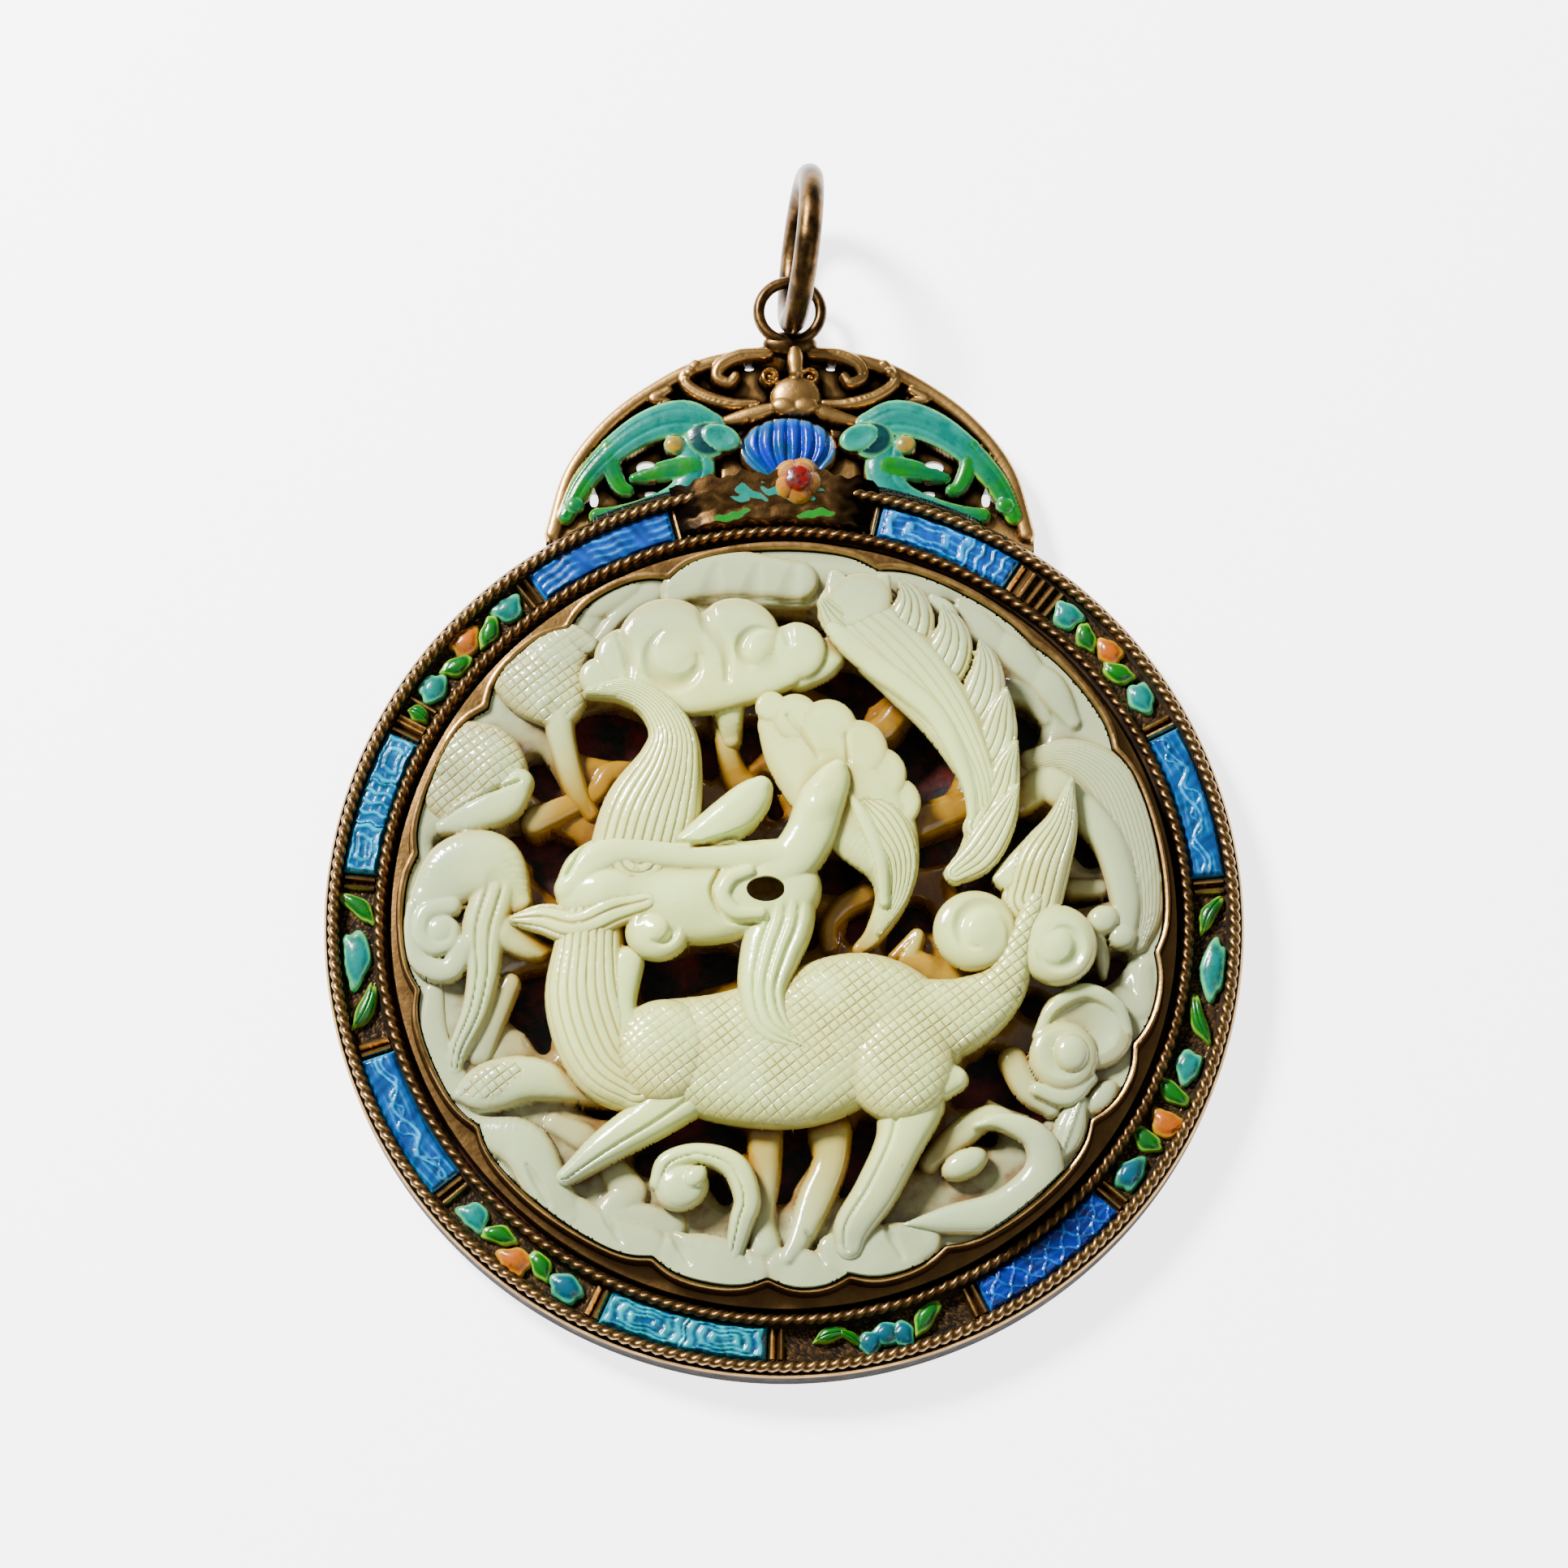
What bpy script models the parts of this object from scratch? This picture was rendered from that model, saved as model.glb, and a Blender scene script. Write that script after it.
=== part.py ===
"""Round openwork jade plaque of a walking beast among clouds, in an enamelled silver frame.

The pendant lies on its back: +Z is the carved face, +Y points to the hanging ring, and the
origin is the centre of the back plate's underside. All lengths are in metres.
"""
import math

import bmesh
import bpy
import numpy as np

# Gap between pieces that are set in, or laid on, one another
FIT = 0.0003

# Jade plaque
PLAQUE_RADIUS = 0.0312
PLAQUE_DEPTH = 0.0088
PLAQUE_GRID_STEP = 0.0005
PLAQUE_KEEP_SHARE = 0.085

# Bezel strip that holds the plaque
BEZEL_WALL = 0.0006
BEZEL_HEIGHT = 0.0048
BEZEL_FOOT_HEIGHT = 0.0028
BEZEL_FOOT_WIDTH = 0.0010

# Back plate and frame
PLATE_THICKNESS = 0.0008
PLATE_SIDES = 72
FRAME_BAND = 0.0052
FRAME_HEIGHT = 0.0036
FRAME_RIM = 0.0008
FRAME_SIDES = 48
CHANNEL_DEPTH = 0.0005
PANEL_RISE = 0.0004
PANEL_SPAN_STEPS = 4
PANEL_END_ANGLE = math.radians(0.5)
ROPE_WIRE = 0.0011
ROPE_SIDES = 60

# Spans of the raised enamel panels, in degrees anticlockwise from +X
PANEL_SPANS = ((5.9, 26.6), (57.3, 76.8), (105.5, 126.0), (154.0, 173.6), (199.0, 218.6), (245.8, 267.7),
               (297.3, 318.0))

# Pierced crest above the frame
CREST_WIDTH = 0.0412
CREST_RISE = 0.0181
CREST_DEPTH = 0.0030
CREST_UNDERSIDE = 0.0012
CREST_OFFSET = 0.0005
CREST_GRID_STEP = 0.0005
CREST_KEEP_SHARE = 0.145

ARCH_HEIGHT = 88.0

# Oval holes on both sides of the crest: place and half widths in hundredths of its half width
CREST_HOLES = ((56, 45, 5.5, 4.2), (55, 29, 5, 3), (80, 28, 3, 5), (16, 74, 2.8, 2.2), (34, 69, 3.6, 2.6))

# Eye and jump ring
EYE_WIRE = 0.0010
EYE_PLAY = 0.0011
EYE_LAP = 0.00035
EYE_SIDES = 24
RING_RADIUS = 0.0062
RING_WIRE = 0.0021
RING_LEAN = math.radians(7.0)
RING_TURN = math.radians(-5.0)
RING_BACKSET = 0.0005
RING_SIDES = 32
TABLE_GAP = 0.00005

# Cusps of the plaque's lobed edge: degrees anticlockwise from +X, and depth in hundredths of its radius
EDGE_CUSPS = ((27, 2.2), (48, 1.0), (75, 2.4), (108.5, 3.4), (126.5, 3.4), (144.5, 3.4), (170.5, 2.2),
              (192, 2.6), (215.5, 2.6), (249.5, 2.8), (267.5, 3.2), (280, 3.0), (295.5, 2.6), (325.5, 3.2),
              (339, 2.6), (354, 2.2))
CUSP_HALF_ANGLE = 3.0
BEZEL_SIDES = 54

# Levels of the carving are tenths of the piece's depth, places are hundredths of its radius
GROUND_LEVEL = 3.9
GROUND_EDGE_DROP = 1.3
GROUND_EDGE_WIDTH = 5.0
RIM_LIFT = 0.9
LOWEST_LEVEL = 2.0
GRID_REACH = 103.0
CREST_PLATE_LEVEL = 4.0

# Worked-out places
PLAQUE_BACK = PLATE_THICKNESS + FIT
BEZEL_INNER = PLAQUE_RADIUS + FIT
BEZEL_OUTER = BEZEL_INNER + BEZEL_FOOT_WIDTH
FRAME_INNER = BEZEL_OUTER + FIT
FRAME_OUTER = FRAME_INNER + FRAME_BAND
PLATE_RADIUS = FRAME_OUTER - FRAME_RIM - FIT
CHANNEL_INNER = FRAME_INNER + ROPE_WIRE
CHANNEL_OUTER = FRAME_OUTER - ROPE_WIRE - FIT
CREST_HALF = CREST_WIDTH / 2
CREST_INNER = FRAME_OUTER + FIT
CREST_BASE = math.sqrt(CREST_INNER**2 - CREST_HALF**2)
EYE_RADIUS = RING_WIRE / 2 + EYE_PLAY + EYE_WIRE / 2
EYE_HEIGHT = CREST_UNDERSIDE + CREST_DEPTH * CREST_PLATE_LEVEL / 10 + FIT + EYE_WIRE / 2
EYE_PLACE = CREST_BASE + CREST_RISE - EYE_LAP + EYE_RADIUS + EYE_WIRE / 2


def clear_scene():
    for old in list(bpy.data.objects):
        bpy.data.objects.remove(old, do_unlink=True)


def material(name, colour, roughness, metallic=0.0):
    made = bpy.data.materials.new(name)
    made.use_nodes = True
    shader = made.node_tree.nodes["Principled BSDF"]
    shader.inputs["Base Color"].default_value = (*colour, 1.0)
    shader.inputs["Roughness"].default_value = roughness
    shader.inputs["Metallic"].default_value = metallic
    return made


def add_object(name, mesh, collection, finish):
    made = bpy.data.objects.new(name, mesh)
    mesh.materials.append(finish)
    collection.objects.link(made)
    return made


def adopt(name, collection, finish):
    """Name the primitive that was just added and move it to the pendant's collection."""
    made = bpy.context.object
    made.name = name
    for old in list(made.users_collection):
        old.objects.unlink(made)
    collection.objects.link(made)
    made.data.materials.append(finish)
    return made


def smooth_path(points, per_span=6):
    """Catmull-Rom curve: between two points runs the cubic whose end slopes come from their neighbours."""
    p = np.asarray(points, float)
    ends = np.vstack([2 * p[0] - p[1], p, 2 * p[-1] - p[-2]])
    t = np.linspace(0, 1, per_span, endpoint=False)[:, None]
    spans = []
    for a, b, c, d in zip(ends, ends[1:], ends[2:], ends[3:]):
        bend = (2 * a - 5 * b + 4 * c - d) * t**2 + (3 * b - a - 3 * c + d) * t**3
        spans.append(0.5 * (2 * b + (c - a) * t + bend))
    return np.vstack(spans + [p[-1:]])


class Relief:
    """A carved surface over places u, v: the highest of all the forms laid at each place.

    level is the surface's height, and edge is how far a place lies inside the outline, below zero outside.
    """

    def __init__(self, u, v):
        self.u = u
        self.v = v
        self.level = np.full(u.shape, -1.0)
        self.edge = np.full(u.shape, -9.0)

    def lay(self, level, inside):
        """Keep the higher of the old surface and the new form, where the form is."""
        self.level = np.where(inside > 0, np.maximum(self.level, level), self.level)
        self.edge = np.maximum(self.edge, inside)

    def cut(self, outside):
        """Take away what lies within a cutter, given how far each place lies outside of it."""
        self.edge = np.minimum(self.edge, outside)

    def nearest(self, rows):
        """Distance from the side of a tapering band, share of its length, signed share of its width."""
        path = smooth_path(rows)
        steps = np.hypot(np.diff(path[:, 0]), np.diff(path[:, 1]))
        along = np.concatenate([[0.0], np.cumsum(steps)]) / steps.sum()
        best = np.full(self.u.shape, 99.0)
        share = np.zeros(self.u.shape)
        side = np.zeros(self.u.shape)
        width = np.ones(self.u.shape)
        level = np.zeros(self.u.shape)
        for a, b, s0, s1 in zip(path, path[1:], along, along[1:]):
            du = b[0] - a[0]
            dv = b[1] - a[1]
            t = np.clip(((self.u - a[0]) * du + (self.v - a[1]) * dv) / (du * du + dv * dv + 1e-12), 0, 1)
            off_u = self.u - a[0] - t * du
            off_v = self.v - a[1] - t * dv
            half = np.maximum(a[2] + t * (b[2] - a[2]), 0.05)
            away = np.hypot(off_u, off_v)
            closer = away / half < best
            best = np.where(closer, away / half, best)
            share = np.where(closer, s0 + t * (s1 - s0), share)
            side = np.where(closer, np.sign(du * off_v - dv * off_u), side)
            width = np.where(closer, half, width)
            level = np.where(closer, a[3] + t * (b[3] - a[3]), level)
        return best, share, side, width, level

    def band(self, rows, crown=1.4, teeth=0, bite=0.3, slant=-0.75):
        """A band along a smooth path through rows of (u, v, half width, level), round across its width.

        Teeth, if any, are cut into its left side: a saw that leans along the path.
        """
        across, share, side, width, level = self.nearest(rows)
        if teeth:
            phase = (share * teeth + slant * across) % 1.0
            across = np.where(side > 0, across / (1 - bite * phase), across)
        within = np.clip(across, 0, 1)
        self.lay(level - crown * (1 - np.sqrt(1 - within**2)), (1 - across) * width)

    def dome(self, u, v, half_u, half_v, level, crown=1.4, turn=0.0):
        """An elliptical boss: a sphere's cap squeezed to its two half widths and its rise."""
        angle = math.radians(turn)
        x = (self.u - u) * math.cos(angle) + (self.v - v) * math.sin(angle)
        y = (self.v - v) * math.cos(angle) - (self.u - u) * math.sin(angle)
        across = np.hypot(x / half_u, y / half_v)
        within = np.clip(across, 0, 1)
        self.lay(level - crown * (1 - np.sqrt(1 - within**2)), (1 - across) * min(half_u, half_v))

    def scroll(self, u, v, radius, turns, start, width, level, crown=1.0, way=1, knob=0.0):
        """A band along a spiral that winds in to a quarter of its radius, round a knob."""
        t = np.linspace(0, 1, int(6 * turns) + 2)
        angle = math.radians(start) + way * t * turns * 2 * math.pi
        reach = radius * (1 - 0.75 * t)
        rows = np.column_stack([u + reach * np.cos(angle), v + reach * np.sin(angle),
                                width * (1 - 0.45 * t), np.full(t.shape, level)])
        self.band(rows, crown)
        if knob:
            self.dome(u, v, knob, knob, level + 0.1, crown)


def lobed_edge(angle):
    """The plaque's edge in hundredths of its radius: a circle with a pointed dip at each cusp."""
    edge = np.full(angle.shape, 100.0)
    for degrees, depth in EDGE_CUSPS:
        off = np.abs((np.degrees(angle) - degrees + 180) % 360 - 180)
        edge -= depth * np.exp(-((off / CUSP_HALF_ANGLE) ** 1.3))
    return edge


def plaque_openings():
    """Openings through the ground layer, each a path of (u, v, half width)."""
    upper_left = ([(-47, 70, 1.5), (-42, 74, 4), (-33, 80, 2)],
                  [(-6, 80, 2.5), (1, 78, 3), (9, 74, 2)],
                  [(-54, 46, 3.5), (-50, 47, 6), (-43, 46, 6), (-37, 45, 3.5)],
                  [(-66, 37, 2.5), (-64, 33, 3.2), (-60, 29, 1.2)],
                  [(-47, 33, 1.4), (-47, 29, 1.8)],
                  [(-72, 19.5, 1), (-65, 16, 4), (-59, 13, 5)],
                  [(-62, 10, 4), (-59.5, 5, 1.5)],
                  [(-22.5, 45, 1.4), (-20, 41, 2.2), (-19.7, 36, 1)],
                  [(-9, 46.5, 2.7), (-8.5, 44, 2.6), (-10.5, 41, 1.6)])
    upper_right = ([(9.5, 60.5, 1.6), (15, 60.5, 4), (20, 58.5, 4.5), (25, 58, 1.6)],
                   [(19.5, 57, 3.5), (19, 50, 1.2)],
                   [(34, 51, 2.5), (36, 43, 7.5), (38, 36, 6.5), (35, 30, 1.5)],
                   [(44, 78, 1.8), (49, 70.5, 2.6), (55.5, 62, 1)],
                   [(62.5, 51.5, 3.3), (63.5, 47, 4.2), (61, 42, 1.6)],
                   [(37, 16, 4.2), (42, 17, 4), (47, 18, 3.5)],
                   [(68, 22, 1.6), (61, 18, 5), (56, 11, 4), (48, 6, 1.5)],
                   [(78.5, 17.5, 2.6), (81.5, 14.5, 3.2)],
                   [(75.5, 2, 1.4), (80, 2.6, 1.4), (85.5, 3.6, 0.9)],
                   [(8, 10.5, 1.3), (12.5, 9.5, 4.6), (19.5, 10, 1.5)],
                   [(5.8, -3.5, 1.6), (6, -7.5, 2.4)],
                   [(20, -1.5, 1.6), (19, -6.5, 2)],
                   [(29, -10, 1.4), (31.5, -3, 2.2), (35, -0.5, 1.8), (38, -4, 1.1)])
    lower_left = ([(-34, -16, 4), (-33, -20.5, 4.2)],
                  [(-28, -17.5, 4.8), (-22, -15.5, 4.6), (-16, -14.5, 3.8)],
                  [(-63, -19, 2.5), (-68, -24, 5.4), (-65, -30, 3.4), (-63.3, -36, 1.3)],
                  [(-52.5, -51.2, 0.8), (-47, -52, 2), (-41.5, -50.8, 1.2)],
                  [(-25, -57, 3.2), (-15, -59.5, 3.2), (-10.5, -61, 1.5)],
                  [(-30, -60, 2.6), (-36, -65, 2.4), (-35.5, -67.5, 1.4)],
                  [(-18.5, -70.5, 1.3), (-15.3, -74.8, 1.3)])
    lower_right = ([(3.5, -59, 3), (3, -64, 3.6), (0, -71, 2.4), (-0.5, -74, 1.8)],
                   [(22, -57, 2.2), (18.5, -65, 2.6), (15.5, -72.5, 1.6)],
                   [(55, -39, 2.2), (50, -46, 4.2), (46, -49.5, 1.4)],
                   [(52, -43, 4), (60, -48, 3.5), (66.5, -51.5, 2.5), (66, -55.5, 0.9)],
                   [(49.5, -58.6, 1.5), (53.5, -59.6, 1.7)],
                   [(65.5, -25, 2.6), (68.6, -26.4, 2.4)],
                   [(79, -19, 1), (84, -17.5, 2.3), (88, -14, 1.9)])
    return upper_left + upper_right + lower_left + lower_right


def lay_ground(relief):
    """The deep layer: a lobed disc pierced by the openings, rounded off beside them like branches."""
    radius = np.hypot(relief.u, relief.v)
    inside = lobed_edge(np.arctan2(relief.v, relief.u)) - radius
    away = np.full(relief.u.shape, 99.0)
    for rows in plaque_openings():
        across, _, _, width, _ = relief.nearest([(*row, 0.0) for row in rows])
        away = np.minimum(away, (across - 1) * width)
    slope = np.clip(1 - away / GROUND_EDGE_WIDTH, 0, 1)
    drop = GROUND_EDGE_DROP * (1 - np.sqrt(1 - slope**2))
    lift = RIM_LIFT * np.clip((radius - 62) / 38, 0, 1)
    relief.lay(GROUND_LEVEL - drop + lift, np.minimum(inside, away))


def carve_rim_leaves(relief):
    relief.band([(-29, 84, 3.5, 5.4), (-28, 90, 4.5, 5.6), (-18, 91.5, 5, 5.7), (3, 89, 5, 5.8)], 1.2)
    relief.band([(-24, 87, 3, 5), (-10, 86, 3.4, 5), (8, 84, 2, 4.6)], 0.9)
    relief.band([(8, 91, 3.5, 5), (18, 90, 4, 5), (30, 88, 4.5, 5), (40, 84, 3, 4.8)], 0.9)
    relief.band([(-55, 80, 2.5, 4.8), (-49, 83.5, 4.5, 5), (-42, 88, 4.5, 5)], 0.9)
    relief.band([(-50, 72, 2.5, 4.8), (-44, 80, 2.5, 4.8), (-36, 86, 4, 4.8)], 0.9)
    relief.band([(47, 82, 2, 4.9), (53, 76, 4.5, 5.2), (60, 70, 3, 5.2)], 1.0)
    relief.band([(55, 75, 2, 5), (62, 69, 4.5, 5.4), (70, 60, 3, 5.3)], 1.0)
    relief.band([(64, 67, 2, 5.1), (71, 60, 4.5, 5.5), (77, 51, 2.5, 5.2)], 1.0)
    relief.band([(71, -65, 0.8, 5.4), (74, -57, 4.2, 6), (77, -49, 2.6, 5.8)], 1.0)
    relief.dome(83, -47.5, 5.6, 3.2, 5.6, 0.9, 45)


def carve_right_ribbon(relief):
    relief.band([(66, 40, 4, 5.6), (76, 41, 5.5, 6), (86, 34, 8, 6), (92, 18, 8, 5.8), (94, 2, 6.5, 5.6),
                 (93, -7, 3.5, 5.4)], 1.3)
    relief.band([(62, 30, 4.5, 5.6), (70, 34, 5, 6.2), (78, 28, 5, 6.4), (86, 18, 4.5, 6.4), (90, 4, 4.2, 6.2),
                 (90, -5, 3.4, 5.9)], 1.3)
    relief.dome(84, -2, 4.6, 4, 6.6, 1.2, 20)
    relief.dome(89, -6, 4, 3.6, 6.2, 1.1)
    relief.band([(82, -5, 2.5, 6), (83.5, -11, 2.3, 5.6), (84, -15.5, 1.2, 5)], 1.2)


def carve_left_fungus(relief):
    """Two fan-shaped fungus heads, their stems, and the cloud that curls below them."""
    relief.band([(-60, 52, 3, 6), (-61, 58, 9, 6.6), (-66, 65, 12.5, 6.4), (-70, 70, 8, 5.6)], 1.6)
    relief.band([(-52, 71, 3, 5.9), (-57, 72, 5, 6.2), (-60, 68, 8, 6.5)], 1.4)
    relief.band([(-60, 55, 4.5, 6.2), (-59, 46, 3.8, 5.8), (-55, 33, 3.2, 5.2), (-51, 27, 2.5, 4.6)], 1.3)
    relief.band([(-70, 33, 3, 6.2), (-77, 38, 9, 6.9), (-83, 38, 13, 6.5), (-87, 34, 10, 5.8)], 1.8)
    relief.band([(-90, 23, 2.5, 5.6), (-82, 26, 5, 6.6), (-74, 29, 5.5, 6.8), (-70, 34, 4, 6.8)], 1.4)
    relief.band([(-70, 3, 4, 6.2), (-77, 12, 8.5, 7), (-86, 11, 9, 6.8), (-93, 4, 6, 6.4)], 1.5)
    relief.scroll(-90, -5, 7, 1.15, 70, 3.1, 6.6, 1.1, way=1, knob=4.6)
    relief.band([(-76, 6, 6, 6.8), (-79, -5, 6, 6.7), (-79, -16, 4.5, 6.5), (-81, -26, 3.8, 6.2),
                 (-85, -35, 3, 5.8), (-86, -40, 2, 5.4)], 1.4)
    relief.band([(-73, -5, 5, 6.4), (-66, -9, 3.5, 5.8), (-60, -9, 1.5, 5.2)], 1.3)
    relief.band([(-72, -18, 3, 5.2), (-77, -28, 4, 5.2), (-80, -36, 4, 5)], 1.1)


def carve_ground_clouds(relief):
    """Rocks and clouds along the bottom, the pointed leaf, two scrolls and the flower at the right."""
    relief.band([(-85, -47, 2, 5.6), (-77, -45, 6.5, 6.4), (-67, -43, 6, 6.6), (-56, -45, 4, 6),
                 (-46, -48.5, 1.6, 5.2)], 1.5)
    relief.band([(-80, -56, 4, 5.4), (-68, -60, 6.5, 6.2), (-62, -70, 6, 6.2), (-56, -78, 5, 5.8)], 1.3)
    relief.band([(-60, -54, 3, 5), (-52, -58, 4, 5.2), (-46, -64, 4, 5.2), (-40, -72, 5, 5.4)], 1.2)
    relief.band([(-60, -76, 6, 5.6), (-48, -83, 7, 5.8), (-36, -86, 6, 5.8)], 1.2)
    relief.band([(-28, -88, 6, 5.8), (-18, -91, 8, 6.2), (-8, -92, 4.5, 6)], 1.2)
    relief.band([(0, -91, 5, 6), (6, -93, 6.5, 6.2), (14, -92, 4, 6)], 1.1)
    relief.band([(14, -88, 6, 6.2), (25, -88, 8, 6.4), (36, -84, 5, 5.8)], 1.2)
    relief.band([(-13, -88, 2.5, 6.2), (-11, -80, 3.3, 7), (-9.5, -74, 3.6, 7.4), (-13, -66, 3.6, 7.6),
                 (-22, -62.8, 2.8, 7.6), (-30, -65, 3, 7.4), (-32.5, -70, 2.5, 7.2)], 1.2)
    relief.dome(-26.5, -71, 7.2, 6.2, 7.6, 1.5, 20)
    relief.band([(31, -80.5, 0.8, 6), (43, -79, 3.8, 6.6), (57, -76.5, 5.2, 7), (67, -68, 5.2, 7.2),
                 (66, -59, 4, 7.4), (57, -54.5, 2.6, 7.2), (50, -55.5, 1, 6.8)], 1.4)
    relief.band([(38, -64, 3, 5.4), (46, -57, 4, 5.8), (54, -52.5, 3.2, 6), (62, -56, 3, 6)], 1.3)
    relief.dome(47, -65, 6.5, 3.8, 6.9, 1.3, 25)
    relief.dome(77, -31, 12.5, 10, 6.3, 1.3, -15)
    relief.dome(70, -39, 9, 9.5, 6.5, 1.2)
    relief.dome(81, -38, 8, 7, 6.2, 1.2)
    relief.dome(74, -40, 4.6, 5.6, 7.4, 1.1)
    relief.band([(60, -38, 4, 5.4), (64, -45, 4, 5.6), (70, -50, 3, 5.4)], 1.2)


def carve_branches(relief):
    relief.band([(-38, 38, 3, 4.4), (-46, 38, 3.2, 4.4), (-51, 32, 3.2, 4.6), (-66, 25, 4, 5)], 1.2)
    relief.band([(-16, 52, 3.6, 5.8), (-15, 44, 3, 5.4), (-13, 37, 4, 4.8), (-10, 34, 4, 4.6)], 1.3)
    relief.band([(20, 46, 3.5, 5), (27, 50, 4, 4.8), (31, 55, 4, 4.8)], 1.3)
    relief.band([(36, 25, 4.6, 4.8), (44, 28, 4.6, 4.6), (50, 30, 4, 4.6)], 1.3)
    relief.band([(33, -12, 4, 5.6), (42, -16, 4.5, 5.6), (49, -16, 2, 5.2)], 1.2)
    relief.band([(12, -8, 2.5, 4.6), (12, -2, 2.6, 4.6), (16, 3, 3, 4.6), (22, 6, 3.2, 4.8)], 1.2)


def carve_top_cloud(relief):
    relief.dome(-47, 62, 6.5, 6, 7.2, 1.4)
    relief.dome(-40, 67, 9, 8.5, 7.5, 1.5)
    relief.dome(-30, 68, 13, 13, 7.9, 1.8)
    relief.dome(-15, 70, 13, 13, 7.9, 1.8)
    relief.dome(0, 69, 10, 9, 7.4, 1.6)
    relief.band([(-16, 60, 6.5, 7.2), (-14.5, 52, 3.2, 6.4), (-14, 46, 2.4, 5.8)], 1.4)
    relief.band([(6, 68, 5, 7.2), (10, 72, 5, 7.4)], 1.4)
    relief.scroll(-28.5, 65, 6.2, 1.0, 150, 2.2, 8.3, 0.8, way=-1, knob=4.4)
    relief.scroll(-8, 66, 4.8, 0.9, 60, 1.9, 8.1, 0.8, way=1, knob=3.2)


def carve_plumes(relief):
    """Two long plumes with saw-toothed outer edges, which sweep down over the beast's back."""
    relief.band([(14, 82, 6.5, 8), (28, 75.5, 10, 8.6), (42, 62, 10.5, 8.9), (50.5, 46, 8.5, 8.6),
                 (53, 32, 6.2, 7.8), (52, 20, 4.6, 6.8), (45, 11, 2.8, 5.6), (37, 9.5, 1.5, 5)], 1.8, teeth=11)
    relief.band([(0, 51, 6.5, 7.4), (9, 46.5, 7.5, 7.9), (19, 39, 9, 8.2), (27, 28, 8.5, 8.1),
                 (30, 16, 5.6, 7.4), (28, 5, 4, 6.6), (24, -4, 2.8, 5.8), (19.5, -9, 2, 5.2)], 1.8, teeth=9)


def carve_legs(relief):
    """Two far legs in the deep layer, two near legs in front."""
    relief.band([(-5, -54, 5, 5.4), (-5, -66, 4.4, 5.4), (-6, -78, 3.8, 5.6), (-5, -86, 4.5, 6)], 1.5)
    relief.band([(12, -56, 6, 5.6), (12, -64, 4.8, 5.6), (8, -74, 4.8, 5.8), (4, -84, 3.4, 6.2),
                 (1, -89, 2.4, 6.4)], 1.5)
    relief.band([(-22, -44, 8, 8), (-34, -53, 6.2, 8), (-46, -60.5, 4.8, 7.6), (-57, -68.5, 2.6, 6.8)], 1.9)
    relief.band([(33, -50, 9, 8.4), (30, -60, 6.4, 8.2), (24, -72, 5.8, 7.8), (18, -81, 5.2, 7.4),
                 (17, -86, 4.2, 7)], 1.9)


def carve_body(relief):
    relief.band([(-31, -36, 13, 8.8), (-14, -38, 17, 9), (4, -36, 20, 9.2), (20, -30, 19, 9.2),
                 (34, -32, 14, 9)], 3.0)
    relief.band([(34, -30, 12, 8.8), (47, -27, 9.5, 8.6), (57, -20, 6.5, 8.6), (62, -8, 4.2, 8.6),
                 (66, 2, 3.2, 8.4)], 2.2)
    relief.dome(30, -40, 14.5, 15.5, 9.7, 2.4)
    relief.band([(40, -44, 6, 8.6), (45, -44, 3.2, 8.2)], 1.6)
    relief.band([(-50, 1, 9, 8.6), (-51, -10, 9.5, 8.6), (-51, -24, 11.5, 8.8), (-46, -38, 11, 8.6),
                 (-38, -45, 8, 8.2)], 2.4)
    relief.dome(-31, -37, 14, 13.5, 9.3, 2.2, 10)
    relief.band([(-41, -14, 4.5, 8.2), (-43, -25, 4.5, 8.4), (-41, -34, 4, 8.6)], 1.4)


def carve_tail(relief):
    relief.band([(65, 2, 8, 8.2), (68, 12, 7.5, 8.6), (73, 22, 4.5, 8.4), (76, 34, 0.9, 7.8)], 1.6)
    relief.band([(56, 8, 1.5, 7.6), (61, 9, 5, 8), (66, 14, 5, 8.2)], 1.3)
    relief.dome(50, -6, 11, 10.5, 8.8, 1.8)
    relief.dome(71.5, -9.5, 10.5, 10.5, 8.6, 1.8)
    relief.scroll(50.5, -6, 6.5, 1.0, 200, 2.3, 9.2, 0.9, way=1, knob=3.8)
    relief.scroll(72, -10, 5.5, 1.0, 20, 2.2, 9, 0.9, way=1, knob=3.4)


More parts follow.
